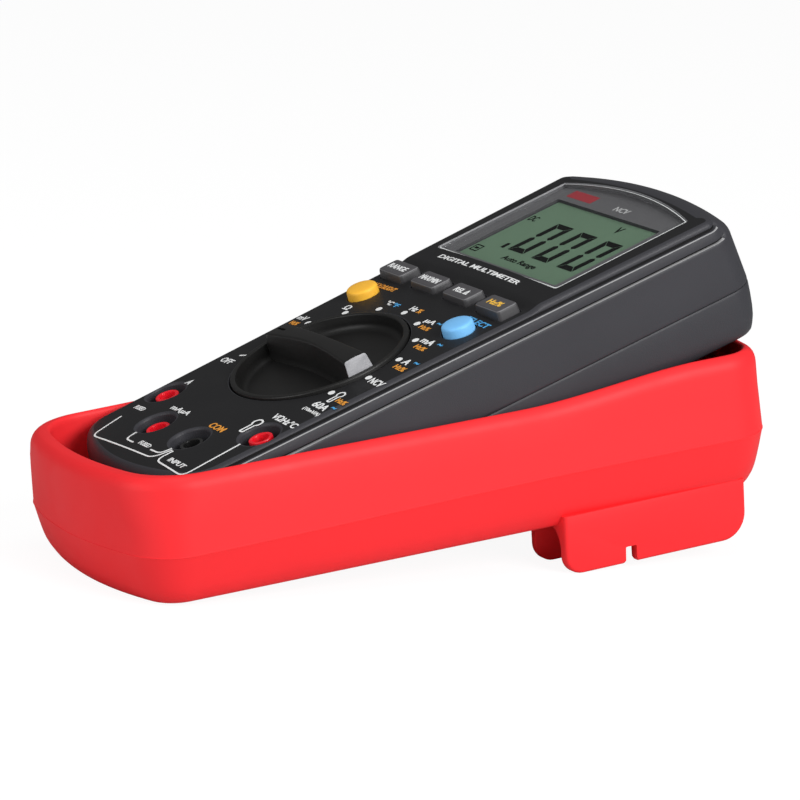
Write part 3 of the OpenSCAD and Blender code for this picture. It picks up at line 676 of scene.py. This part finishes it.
def hole_tool(outline, low, lip, top=6.0):
    """Cutter whose upper end flares out, so that it leaves a rounded lip on the crowned face."""
    n = len(outline)

    def ring(grow, z, follow):
        """The outline moved outwards by grow; with follow, z is measured from the crowned face."""
        pts = []
        for i, p in enumerate(outline):
            along = np.array(outline[(i + 1) % n]) - np.array(outline[i - 1])
            along /= np.linalg.norm(along)
            x, y = p[0] + grow * along[1], p[1] - grow * along[0]
            pts.append((x, y, z + (crown(x, y) if follow else 0)))
        return pts

    turns = np.radians((0, 15, 34, 53, 72, 90))
    lips = [ring(lip * (1 - math.cos(a)), -lip * (1 - math.sin(a)), True) for a in turns]
    return loft([ring(0, low, False)] + lips + [ring(lip, top, False)])


LENS_HALF, LENS_Y0, LENS_Y1, LENS_RISE, LENS_SEAT, LENS_TOP = 30.3, 54.9, 96.8, 4.2, -1.25, 0.56
WINDOW_W, WINDOW_L, WINDOW_Y = 50.4, 33.2, 74.2


def lens_outline(grow=0.0, r=1.0):
    """Window outline: square corners slightly eased, arched far edge."""
    half, y0 = LENS_HALF + grow, LENS_Y0 - grow
    radius = (LENS_HALF**2 + LENS_RISE**2) / (2 * LENS_RISE)
    edge = math.degrees(math.acos(half / (radius + grow)))
    return (fillet((-half + r, y0 + r), r, 180, 270, 5) + fillet((half - r, y0 + r), r, 270, 360, 5)
            + fillet((0, LENS_Y1 + LENS_RISE - radius), radius + grow, edge, 180 - edge, 36))


def shell_tools():
    """Cutters for the dial, the socket wells, the keys and the buttons."""
    tools = [hole_tool(circle((0, 0), DIAL_R + 0.35, 160), -12, 0.35)]
    tools += [hole_tool(circle(c, WELL_R, 80), -20, 0.8) for c in JACKS.values()]
    for name in KEYS:
        x, y = centre_of(name)
        tools.append(hole_tool([(x + p, y + q) for p, q in rounded_rect(12.7, 7.1, 1.2)], -12, 0.3))
    tools += [hole_tool(circle(centre_of(name), 4.6, 64), -12, 0.35) for name in BUTTONS]
    return [mesh_object("tool", *t) for t in tools]


def front_case():
    """Front shell with its socket tubes, holes and window, in place of its CAD solid."""
    shell = front_shell()
    tubes = [mesh_object("tube", *revolve([(6.6, -11.6), (6.6, -2.7)], 64, c)) for c in JACKS.values()]
    combine(shell, join("tubes", tubes), "UNION")
    combine(shell, join("tools", shell_tools()), "DIFFERENCE")
    levels = ((LENS_SEAT, 0), (-0.5, 0), (0.7, 0.3), (4, 0.3))
    recess = mesh_object("tool", *loft([[(x, y, z) for x, y in lens_outline(g)] for z, g in levels]))
    recess.data.polygons.foreach_set("material_index", [4] * len(recess.data.polygons))
    combine(shell, recess, "DIFFERENCE")
    sight = stack([(-6, WINDOW_W, WINDOW_L, 0.6), (-1.8, WINDOW_W, WINDOW_L, 0.6),
                   (0.2, WINDOW_W + 1.6, WINDOW_L + 1.6, 0.8)])
    cut(shell, moved(sight, y=WINDOW_Y))
    shell.data.transform(METER)
    shade(shell, 30)
    settle(shell, "meter", "case_plastic", "front_case")


front_case()

# ---- rear case: a shell whose bottom slopes up to the heel
DEPTH, HEEL_Z, HEEL_Y0, HEEL_Y1 = -34.0, -26.33, -60, -32
CASE_SCREWS = ((25, -52), (31, 96))


def rear_bottom(y):
    """Height of the underside: flat, then the heel's slope, then steep chamfers at both ends."""
    return float(np.interp(y, [-70, HEEL_Y0 - 2.2, HEEL_Y0, HEEL_Y1, 103, 112],
                           [HEEL_Z + 5, HEEL_Z + 1.5, HEEL_Z, DEPTH, DEPTH, DEPTH + 7]))


def rear_ring(share, inset):
    """Ring at a share of the depth between the joint and the underside."""
    top = SPLIT - 0.06
    ring = []
    for x, y in CASE.ring(inset, **RING):
        z = top + (rear_bottom(y) - top) * share
        ring.append((x, y + end_draft(y, z), z))
    return ring


def cross_faces(first, n, up):
    """Strips across a ring, joining mirrored points."""
    strips = []
    for i in range(n // 2):
        a, b, c, d = i, i + 1, (n - i - 1) % n, (n - i) % n
        quad = [first + v for v in (dict.fromkeys((a, b, c, d)))]
        if len(quad) > 2:
            strips.append(tuple(quad if up else quad[::-1]))
    return strips


def rear_case():
    """Rear shell with the well of its lid and four screw holes, in place of its CAD solid."""
    outer = [(1.0, 5.0), (1.0, 3.6), (0.985, 2.6), (0.955, 1.8), (0.91, 1.15), (0.85, 0.7), (0.76, 0.35),
             (0.6, 0.12), (0.3, 0.0), (0.05, 0.0), (0.02, 0.06), (0.005, 0.2), (0.0, 0.5)]
    inner = [(0.0, 2.4), (0.3, 2.4), (0.6, 2.5), (0.8, 3.4), (0.86, 4.6)]
    rings = [rear_ring(s, i) for s, i in outer + inner]
    verts, faces = loft(rings, cap_low=False, cap_high=False)
    n = len(rings[0])
    faces += cross_faces(0, n, False) + cross_faces(len(verts) - n, n, True)
    shell = mesh_object("rear_case_shell", verts, faces, mats=[CHARCOAL])
    low, high = local_box("battery_door")
    mid, well_l = (low[1] + high[1]) / 2, high[1] - low[1] + 0.6
    well = stack([(z, 44.6, well_l, 1.6) for z in (DEPTH - 2, DEPTH + 2.4)])
    cut(shell, moved(well, y=mid))
    for x, y in CASE_SCREWS:
        for side in (-1, 1):
            cut(shell, revolve([(3.0, -40), (3.0, DEPTH + 5)], 40, (side * x, y)))
    shell.data.transform(METER)
    shade(shell, 28)
    settle(shell, "meter", "case_plastic", "rear_case")


rear_case()


def battery_door():
    """Lid with a rounded edge, finger ridges and a countersunk screw hole."""
    low, high = local_box("battery_door")
    w, l, mid = high[0] - low[0] - 0.2, high[1] - low[1] - 0.2, (low[1] + high[1]) / 2
    lid = stack([(DEPTH + 0.02, w - 1.4, l - 1.4, 1.0), (DEPTH + 0.12, w - 0.7, l - 0.7, 1.3),
                 (DEPTH + 0.45, w - 0.1, l - 0.1, 1.5), (DEPTH + 2.3, w, l, 1.5)])
    body = mesh_object("battery_lid", *moved(lid, y=mid), mats=[CHARCOAL])
    for k in range(5):
        ridge = stack([(DEPTH - 1, 22, 0.9, 0.44), (DEPTH + 0.6, 20.8, 0.5, 0.24)])
        cut(body, moved(ridge, y=high[1] - 6 - 2.2 * k))
    head = [(2.7, DEPTH - 1), (2.7, DEPTH + 1.5), (1.3, DEPTH + 1.6), (1.3, DEPTH + 4)]
    cut(body, revolve(head, 40, (0, low[1] + 3.6)))
    body.data.transform(METER)
    shade(body, 30)
    settle(body, "meter", "case_plastic", "battery_door")


battery_door()


# ---- display
def display_lens():
    """Clear window with a crowned top, made of shrinking rings, and a pale edge that is a painted highlight."""
    outer = lens_outline(-0.1)
    rings = [[(x, y, LENS_SEAT + 0.05) for x, y in outer]]
    for z, inset in ((0.34, 0.06), (0.5, 0.2), (LENS_TOP, 0.5), (LENS_TOP, 0.9)):
        rings.append([(x, y, z + crown(x, y)) for x, y in lens_outline(-inset)])
    middle, edge = np.array([0, 76.0]), [np.array(p[:2]) for p in rings[-1]]
    for share in 1 - np.arange(1, 12) / 12:
        ring = [middle + share * (p - middle) for p in edge]
        rings.append([(x, y, LENS_TOP + crown(x, y)) for x, y in ring])
    verts, faces = loft(rings)
    lens = mesh_object("lens_window", verts, faces, METER, 30, [LENS, LENS_EDGE_HIGHLIGHT])
    n = len(outer)
    # faces of the rounded edge take the pale painted highlight
    index = [1 if n <= f < 3 * n else 0 for f in range(len(faces))]
    lens.data.polygons.foreach_set("material_index", index)
    settle(lens, "meter", "window_clear", "display_lens")


display_lens()

DIGIT_L, DIGIT_W, SEGMENT, SLANT = 16.4, 7.8, 2.1, 0.03
LCD_TOP = local_box("lcd_glass")[1][2]


def segment(points, z, mat, t=0.04):
    """Thin printed area given by its outline."""
    solid = loft([[(x, y, z) for x, y in points], [(x, y, z + t) for x, y in points]])
    return mesh_object("mark", *solid, mats=[mat])


def digit_zero(x, y):
    """The six lit bars of a seven-segment nought, with mitred gaps."""
    w, l, s, gap = DIGIT_W, DIGIT_L, SEGMENT, 0.17
    bars = []
    for sy in (-1, 1):
        outer, inner = sy * l / 2, sy * (l / 2 - s)
        bars.append([(-w / 2 + gap, outer), (w / 2 - gap, outer), (w / 2 - s - gap, inner),
                     (-w / 2 + s + gap, inner)])
        for sx in (-1, 1):
            bars.append([(sx * w / 2, sy * (l / 2 - gap)), (sx * (w / 2 - s), sy * (l / 2 - s - gap)),
                         (sx * (w / 2 - s), sy * 0.9), (sx * (w / 2 - s / 2), sy * 0.2),
                         (sx * w / 2, sy * 0.9)])
    return [segment([(x + px + SLANT * py, y + py) for px, py in bar], LCD_TOP + 0.02, INK) for bar in bars]


def glyphs(text, x, y, width, height, surface, mat, lift=0.03, thick=0.05):
    """Lettering centred on (x, y), stretched to its width and height, laid on a surface z(x, y)."""
    curve = bpy.data.curves.new("text", "FONT")
    curve.body, curve.align_x, curve.align_y, curve.resolution_u = text, "LEFT", "BOTTOM_BASELINE", 3
    curve.extrude, curve.offset = 0.05, 0.022
    obj = bpy.data.objects.new("text", curve)
    SCENE.collection.objects.link(obj)
    mesh = bpy.data.meshes.new_from_object(obj.evaluated_get(bpy.context.evaluated_depsgraph_get()))
    bpy.data.objects.remove(obj)
    co = np.array([v.co for v in mesh.vertices])
    low, high = co.min(0), co.max(0)
    verts = []
    for p in co:
        px = x + ((p[0] - low[0]) / (high[0] - low[0]) - 0.5) * width
        py = y + ((p[1] - low[1]) / (high[1] - low[1]) - 0.5) * height
        verts.append((px, py, surface(px, py) + lift + (thick if p[2] > 0 else 0)))
    faces = [tuple(f.vertices) for f in mesh.polygons]
    bpy.data.meshes.remove(mesh)
    return mesh_object("text", verts, faces, mats=[mat])


def battery_icon(x, y):
    """Small box outline with a cell in it."""
    bars = ((0, 1.4, 3.6, 0.4), (0, -1.4, 3.6, 0.4), (1.6, 0, 0.4, 3.2), (-1.6, 0, 0.4, 3.2),
            (0, 0, 1.6, 0.9))
    return [segment([(x + dx + p, y + dy + q) for p, q in rounded_rect(w, l, 0.1, 1)], LCD_TOP + 0.02, INK)
            for dx, dy, w, l in bars]


def level_at(z):
    """A level surface, for lettering."""
    return lambda x, y: z


LCD_TEXT = [("DC", -22.6, 81.0, 3.4, 2.6), ("V", 10.7, 87.2, 2.6, 3.0), ("Auto Range", -0.5, 62.0, 16.5, 2.6)]


def lcd_marks():
    """All that the display shows: a decimal point, three noughts, a battery and three words."""
    parts = [bar for x, y in ((-8.0, 74.0), (4.4, 73.7), (17.1, 73.6)) for bar in digit_zero(x, y)]
    point = [(-15.7, 65.6), (-14.2, 65.6), (-14.2, 68.2), (-15.7, 68.2)]
    parts.append(segment(point, LCD_TOP + 0.02, INK))
    parts += [glyphs(t, x, y, w, h, level_at(LCD_TOP), INK, 0.02) for t, x, y, w, h in LCD_TEXT]
    parts += battery_icon(-22.5, 62.3)
    marks = join("lcd_segments", parts)
    marks.data.transform(METER)
    settle(marks, "meter", "lcd_film")


lcd_marks()


# ---- dial
def dial_body():
    """Ring with a rounded lip round a shallow dish."""
    ring = fillet((DIAL_R - 0.5, 0.05), 0.5, 0, 90, 5)
    lip = fillet((DIAL_R - 1.1, 0.15), 0.4, 90, 180, 4)
    cove = fillet((DIAL_R - 3.9, -1.6), 2.0, 0, -90, 7)
    profile = [(22, -5.1), (DIAL_R, -5.1)] + ring + lip + [(DIAL_R - 1.75, -0.9)] + cove
    profile += [(14, -3.62), (9, -3.62), (3, -3.62)]
    return mesh_object("dial_dish", *revolve(profile, 144), mats=[DIAL, FACET])


HANDLE_X0, HANDLE_X1, HANDLE_STEPS, END_LEAN = -22.6, 22.9, 24, 0.37


def handle_section(share):
    """(y, z) outline of the handle at a share of its length; waisted on the jack side."""
    waist = math.sin(math.pi * share) ** 1.5
    near, far = -4.0 + 1.7 * waist, 4.0 - 0.25 * waist
    top = 3.3 + 1.0 * share + 0.95 * math.sin(math.pi * share)
    r = 0.7
    left = fillet((near + 0.55 + r, top - r), r, 180, 90, 5)
    right = fillet((far - 0.9 - r, top - r), r, 90, 0, 5)
    crest = [((near + far) / 2, top + 0.12)]
    return ([(near - 0.7, -3.9), (near - 0.25, -3.1), (near, -2.2)] + left + crest + right
            + [(far, -2.2), (far + 0.25, -3.1), (far + 0.7, -3.9)])


def handle():
    """Bar across the dish; both ends are flat facets that lean inwards."""
    rings = []
    for share in np.arange(HANDLE_STEPS + 1) / HANDLE_STEPS:
        x = HANDLE_X0 + (HANDLE_X1 - HANDLE_X0) * share
        lean = (1 if share > 0.5 else -1) * END_LEAN * smooth_step((abs(share - 0.5) - 0.42) / 0.08)
        rings.append([(x - lean * max(0, z - 0.4), y, z) for y, z in reversed(handle_section(share))])
    bar = mesh_object("handle", *loft(rings), mats=[DIAL, FACET])
    # the end facet at the high end of the handle is painted light: painted highlight
    bar.data.polygons[len(bar.data.polygons) - 1].material_index = 1
    return bar


def rotary_dial():
    """Dish and handle in one, with a sunk pointer line, in place of their CAD solid."""
    dish = dial_body()
    bar = handle()
    limit = revolve([(DIAL_R - 0.55, -4.2), (DIAL_R - 0.55, 8)], 144)
    combine(bar, mesh_object("tool", *limit), "INTERSECT")
    bevel(bar, 0.22, 2, 40)
    combine(dish, bar, "UNION")
    mark = stack([(2.9, 4.2, 0.8, 0.35), (8, 4.2, 0.8, 0.35)])
    cut(dish, moved(mark, x=-18.4))
    dish.name = "dial_knob"
    dish.data.transform(METER)
    shade(dish, 33)
    settle(dish, "dial", "case_plastic", "rotary_dial")


rotary_dial()


# ---- keys and buttons
KEY_H, BUTTON_H = 1.76, 2.0


def flat_key(name):
    """Tapered keycap with a rounded rim and a skirt under the face."""
    x, y = centre_of(name)
    levels = [(-3.6, 13.4, 7.8, 1.2), (-2.9, 13.4, 7.8, 1.2), (-2.9, 12.2, 6.8, 1.0), (-1.2, 12.2, 6.8, 1.0),
              (0.9, 11.9, 6.4, 0.95), (1.25, 11.8, 6.3, 0.95), (1.5, 11.6, 6.1, 0.9), (1.67, 11.3, 5.8, 0.8),
              (1.74, 10.95, 5.45, 0.7), (KEY_H, 10.4, 4.9, 0.5)]
    verts, faces = stack(levels)
    cap = mesh_object(name + "_cap", *moved((verts, faces), x, y), METER, 35, [KEY, KEY_TOP, KEY_RIM_HIGHLIGHT])
    n = len(verts) // len(levels)
    rim, low_cap = 6 * n, len(faces) - 2
    # the faces of the rounded rim take the lighter rim colour: painted highlight
    index = [0 if f < rim or f == low_cap else 2 if f < rim + n else 1 for f in range(len(faces))]
    cap.data.polygons.foreach_set("material_index", index)
    settle(cap, name + "_body", "key_rubber", name)


KEY_TEXT = {"range_key": ("RANGE", 8.4, WHITE), "maxmin_key": ("MAX/MIN", 8.8, WHITE),
            "relative_key": ("REL Δ", 6.6, WHITE), "hertz_key": ("Hz/%", 6.4, AMBER)}


def key_label(name):
    """Lettering on a key."""
    text, width, mat = KEY_TEXT[name]
    x, y = centre_of(name)
    label = glyphs(text, x, y, width, 2.1, lambda px, py: KEY_H, mat, 0.0, 0.05)
    label.name = name + "_label"
    label.data.transform(METER)
    settle(label, name + "_body", "key_rubber")


for key_name in KEYS:
    flat_key(key_name)
    key_label(key_name)


def round_button(name, mat, slot):
    """Domed push button with a soft rim."""
    r = 4.3
    rim = fillet((r - 0.9, BUTTON_H - 1.0), 0.8, 0, 75, 6)
    profile = [(5.1, -3.6), (5.1, -2.9), (r, -2.85), (r, -1.5), (r - 0.06, 0.5)] + rim
    profile += [(2.6, BUTTON_H - 0.12), (1.6, BUTTON_H - 0.05), (0.7, BUTTON_H - 0.01), (0.2, BUTTON_H)]
    button = mesh_object(name + "_cap", *revolve(profile, 72, centre_of(name)), METER, 35, [mat])
    settle(button, name + "_body", slot, name)


round_button("hold_button", YELLOW, "yellow_rubber")
round_button("select_button", BLUE, "blue_rubber")


# ---- sockets
def collar(jack, mat, slot):
    """Shroud round a 4 mm socket, with a rounded rim."""
    node, n, r_out, r_in, soft = "collar_" + jack, 64, 3.15, 2.15, 0.25
    low, high = local_box(node)
    foot_z, top = low[2], high[2]
    profile = [(r_in, foot_z), (r_out, foot_z), (r_out, top - soft)]
    profile += fillet((r_out - soft, top - soft), soft, 30, 90, 3)
    profile += [(r_in + 0.3, top), (r_in + 0.08, top - 0.1), (r_in, top - 0.35), (r_in, foot_z + 0.6)]
    verts, faces = revolve(profile, n, JACKS[jack])
    last = len(verts) - n
    # the last ring joins the first, in place of both caps
    faces = faces[:-2] + [(last + i, last + (i + 1) % n, (i + 1) % n, i) for i in range(n)]
    piece = mesh_object(node + "_shroud", verts, faces, METER, 35, [mat])
    settle(piece, "meter", slot, node)


for jack in ("amp", "milliamp", "volt"):
    collar(jack, COLLAR_RED, "collar_red_plastic")
collar("com", COLLAR_BLACK, "black_plastic")


# ---- printing on the face
def rounded_path(points, corner):
    """The path with its corners rounded by short curves."""
    pts = [np.array(p, float) for p in points]
    path = [pts[0]]
    for a, b, c in zip(pts, pts[1:], pts[2:]):
        back, ahead = np.linalg.norm(a - b), np.linalg.norm(c - b)
        r = min(corner, back / 2.1, ahead / 2.1)
        start, end = b + r * (a - b) / back, b + r * (c - b) / ahead
        path += [(1 - t) ** 2 * start + 2 * t * (1 - t) * b + t * t * end for t in np.linspace(0, 1, 7)]
    return path + [pts[-1]]


def ribbon(points, width, corner=2.6):
    """Printed line with rounded corners that follows the face."""
    path = rounded_path(points, corner)
    fine = [path[0]]
    for a, b in zip(path, path[1:]):
        steps = max(1, int(np.linalg.norm(b - a) / 1.5))
        fine += [a + (b - a) * k / steps for k in range(1, steps + 1)]
    rings = []
    for i, p in enumerate(fine):
        along = fine[min(i + 1, len(fine) - 1)] - fine[max(i - 1, 0)]
        across = np.array([-along[1], along[0]]) / np.linalg.norm(along) * width / 2
        (x0, y0), (x1, y1) = p + across, p - across
        z0, z1 = face_height(x0, y0) + 0.03, face_height(x1, y1) + 0.03
        rings.append([(x0, y0, z0), (x1, y1, z1), (x1, y1, z1 + 0.05), (x0, y0, z0 + 0.05)])
    return mesh_object("line", *loft(rings), mats=[WHITE])


def dot(x, y, r=0.95):
    """Printed dot."""
    edge = circle((x, y), r, 28)
    rings = [[(p, q, face_height(p, q) + z) for p, q in edge] for z in (0.02, 0.08)]
    return mesh_object("dot", *loft(rings), mats=[WHITE])


def clamp_mark(x, y, s=1.0):
    """Small outline of a clamp meter."""
    jaw = [(x + s * px, y + s * py) for px, py in fillet((0, 1.6), 1.15, -60, 240, 14)]
    stem = [(x - 0.55 * s, y + 0.6 * s), (x - 0.55 * s, y - 2.4 * s), (x + 0.55 * s, y - 2.4 * s),
            (x + 0.55 * s, y + 0.6 * s)]
    return [ribbon(jaw, 0.42 * s, 0.1), ribbon(stem, 0.42 * s, 0.4)]


DOT_R, STEP = 26.3, 22.5
# lettering on the face: text, centre, width and height
WHITE_TEXT = [("V~", -30.0, 1.6, 3.4, 2.2), ("mV", -29.4, 11.4, 4.2, 2.1), ("Ω", -21.2, 20.9, 2.6, 2.4),
              ("°C", -10.4, 27.9, 3.0, 2.0), ("Hz", 0.9, 29.0, 3.0, 2.1), ("µA", 12.9, 26.6, 4.4, 2.3),
              ("mA", 22.9, 19.9, 5.2, 2.4), ("A", 27.7, 10.4, 2.6, 2.4), ("NCV", 30.2, -0.3, 5.6, 2.5),
              ("60A", 27.7, -15.6, 6.2, 2.6), ("(10mV/A)", 27.9, -18.7, 7.6, 1.6),
              ("OFF", -26.2, -14.0, 5.6, 2.3), ("A", -24.4, -26.5, 2.2, 2.3),
              ("mAµA", -8.9, -37.4, 9.6, 2.3), ("VΩHz°C", 26.0, -25.3, 11.2, 2.4),
              ("FUSED", -23.7, -42.0, 5.0, 1.7), ("FUSED", 0.5, -52.9, 5.6, 1.6),
              ("INPUT", 19.4, -53.6, 8.0, 1.7), ("DIGITAL MULTIMETER", -2.6, 51.6, 41.0, 1.8)]
ORANGE_TEXT = [("Hz%", -28.9, 8.4, 3.8, 1.7), ("%", 3.9, 28.9, 1.9, 1.9), ("Hz%", 14.6, 23.9, 4.4, 1.7),
               ("Hz%", 23.9, 16.8, 4.6, 1.8), ("Hz%", 28.9, 7.5, 4.8, 1.9), ("Hz%", 30.9, -11.3, 4.2, 1.8),
               ("COM", 11.5, -37.3, 6.9, 2.3), ("HOLD/LIGHT", -22.3, 33.3, 11.4, 1.9)]
CYAN_TEXT = [("°F", -7.1, 27.9, 2.8, 1.9), ("~", 16.5, 27.3, 1.8, 0.9), ("~", 27.6, 20.6, 1.8, 0.9),
             ("~", 30.9, 11.4, 1.8, 0.9), ("~", 32.0, -14.3, 1.7, 0.9), ("SELECT", 25.8, 33.3, 10.5, 2.1)]


def face_lines():
    """Dial marks, clamp symbols and the lines that join the sockets to their limits."""
    marks = []
    for k in range(10):
        a = math.radians(STEP * (k - 4))
        marks.append(dot(DOT_R * math.sin(a) - (0.6 if k > 7 else 0), DOT_R * math.cos(a)))
    a = math.radians(-5 * STEP)
    out = np.array([math.sin(a), math.cos(a)])
    marks.append(ribbon([25.2 * out, 27.6 * out], 0.6))
    marks += clamp_mark(27.2, -10.9) + clamp_mark(19.8, -32.0, 1.25)
    for path in ([(-24.6, -47.2), (-21.6, -57.6), (9.8, -56.0), (11.4, -50.6)],
                 [(-9.3, -50.4), (-8.6, -54.0), (-4.2, -54.0)],
                 [(5.0, -53.7), (9.6, -53.5), (10.4, -50.2)],
                 [(12.2, -50.8), (12.2, -56.0), (27.2, -56.5), (26.1, -38.7)]):
        marks.append(ribbon(path, 0.5))
    return marks


def face_print():
    """All print on the face, one piece for each colour."""
    for mat, words in ((WHITE, WHITE_TEXT), (ORANGE, ORANGE_TEXT), (CYAN, CYAN_TEXT)):
        marks = face_lines() if mat == WHITE else []
        marks += [glyphs(text, x, y, w, h, face_height, mat) for text, x, y, w, h in words]
        piece = join("face_" + mat.name, marks)
        piece.data.transform(METER)
        settle(piece, "meter", "case_plastic")


face_print()


def window_print():
    """Plain patch and a function label on the ledge behind the window."""
    patch = segment(rounded_rect(12.0, 3.6, 0.3, 2), LENS_SEAT + 0.01, PATCH, 0.03)
    patch.data.transform(Matrix.Translation((-18.6, 94.9, 0)))
    label = glyphs("NCV", 1.6, 94.4, 6.6, 2.2, level_at(LENS_SEAT), WHITE, 0.01, 0.03)
    piece = join("window_print", [patch, label])
    piece.data.transform(METER)
    settle(piece, "meter", "window_clear")


window_print()


# ---- studio
def light_path_mix(tree, camera_shader, other_shader, output):
    """Camera rays see one shader, all other rays the other."""
    path, mix = tree.nodes.new("ShaderNodeLightPath"), tree.nodes.new("ShaderNodeMixShader")
    tree.links.new(path.outputs["Is Camera Ray"], mix.inputs["Fac"])
    tree.links.new(other_shader, mix.inputs[1])
    tree.links.new(camera_shader, mix.inputs[2])
    tree.links.new(mix.outputs["Shader"], output)


def sky():
    """White to the camera, a faint fill for everything else."""
    world = bpy.data.worlds.new("studio")
    SCENE.world = world
    world.use_nodes = True
    tree = world.node_tree
    seen, fill = tree.nodes["Background"], tree.nodes.new("ShaderNodeBackground")
    for background, strength in ((seen, 1.0), (fill, 0.16)):
        background.inputs["Color"].default_value = (1, 1, 1, 1)
        background.inputs["Strength"].default_value = strength
    light_path_mix(tree, seen.outputs[0], fill.outputs[0], tree.nodes["World Output"].inputs["Surface"])


def area(name, azimuth, elevation, distance, size, radiance, specular=1.0):
    """Square soft box aimed at the object."""
    a, e = math.radians(azimuth), math.radians(elevation)
    place = Vector((math.cos(e) * math.cos(a), math.cos(e) * math.sin(a), math.sin(e))) * distance
    data = bpy.data.lights.new(name, "AREA")
    data.shape, data.size, data.energy = "SQUARE", size, radiance * math.pi * size * size
    data.specular_factor = specular
    lamp = bpy.data.objects.new(name, data)
    lamp.location = place + Vector((0, 0, 0.05))
    lamp.rotation_euler = (-place).to_track_quat("-Z", "Y").to_euler()
    SCENE.collection.objects.link(lamp)


def floor():
    """Near-white floor that still takes the object's shadow."""
    mat = bpy.data.materials.new("floor")
    mat.use_nodes = True
    tree = mat.node_tree
    matte = tree.nodes["Principled BSDF"]
    matte.inputs["Base Color"].default_value = (0.6, 0.6, 0.6, 1)
    matte.inputs["Roughness"].default_value = 0.9
    glow, soft, blend = (tree.nodes.new("ShaderNode" + k) for k in ("Emission", "BsdfDiffuse", "AddShader"))
    glow.inputs["Strength"].default_value = 0.93
    soft.inputs["Color"].default_value = (0.12, 0.12, 0.12, 1)
    tree.links.new(glow.outputs[0], blend.inputs[0])
    tree.links.new(soft.outputs[0], blend.inputs[1])
    light_path_mix(tree, blend.outputs[0], matte.outputs[0], tree.nodes["Material Output"].inputs["Surface"])
    corners = [(-6, -6, 0), (6, -6, 0), (6, 6, 0), (-6, 6, 0)]
    plane = mesh_object("floor", corners, [(0, 1, 2, 3)], mats=[mat])


sky()
area("key", 16, 27, 1.35, 0.7, 10.8)
area("front_fill", -82, 16, 1.4, 1.0, 2.5, 0.25)
area("top", -20, 78, 1.3, 0.7, 3.2)
floor()
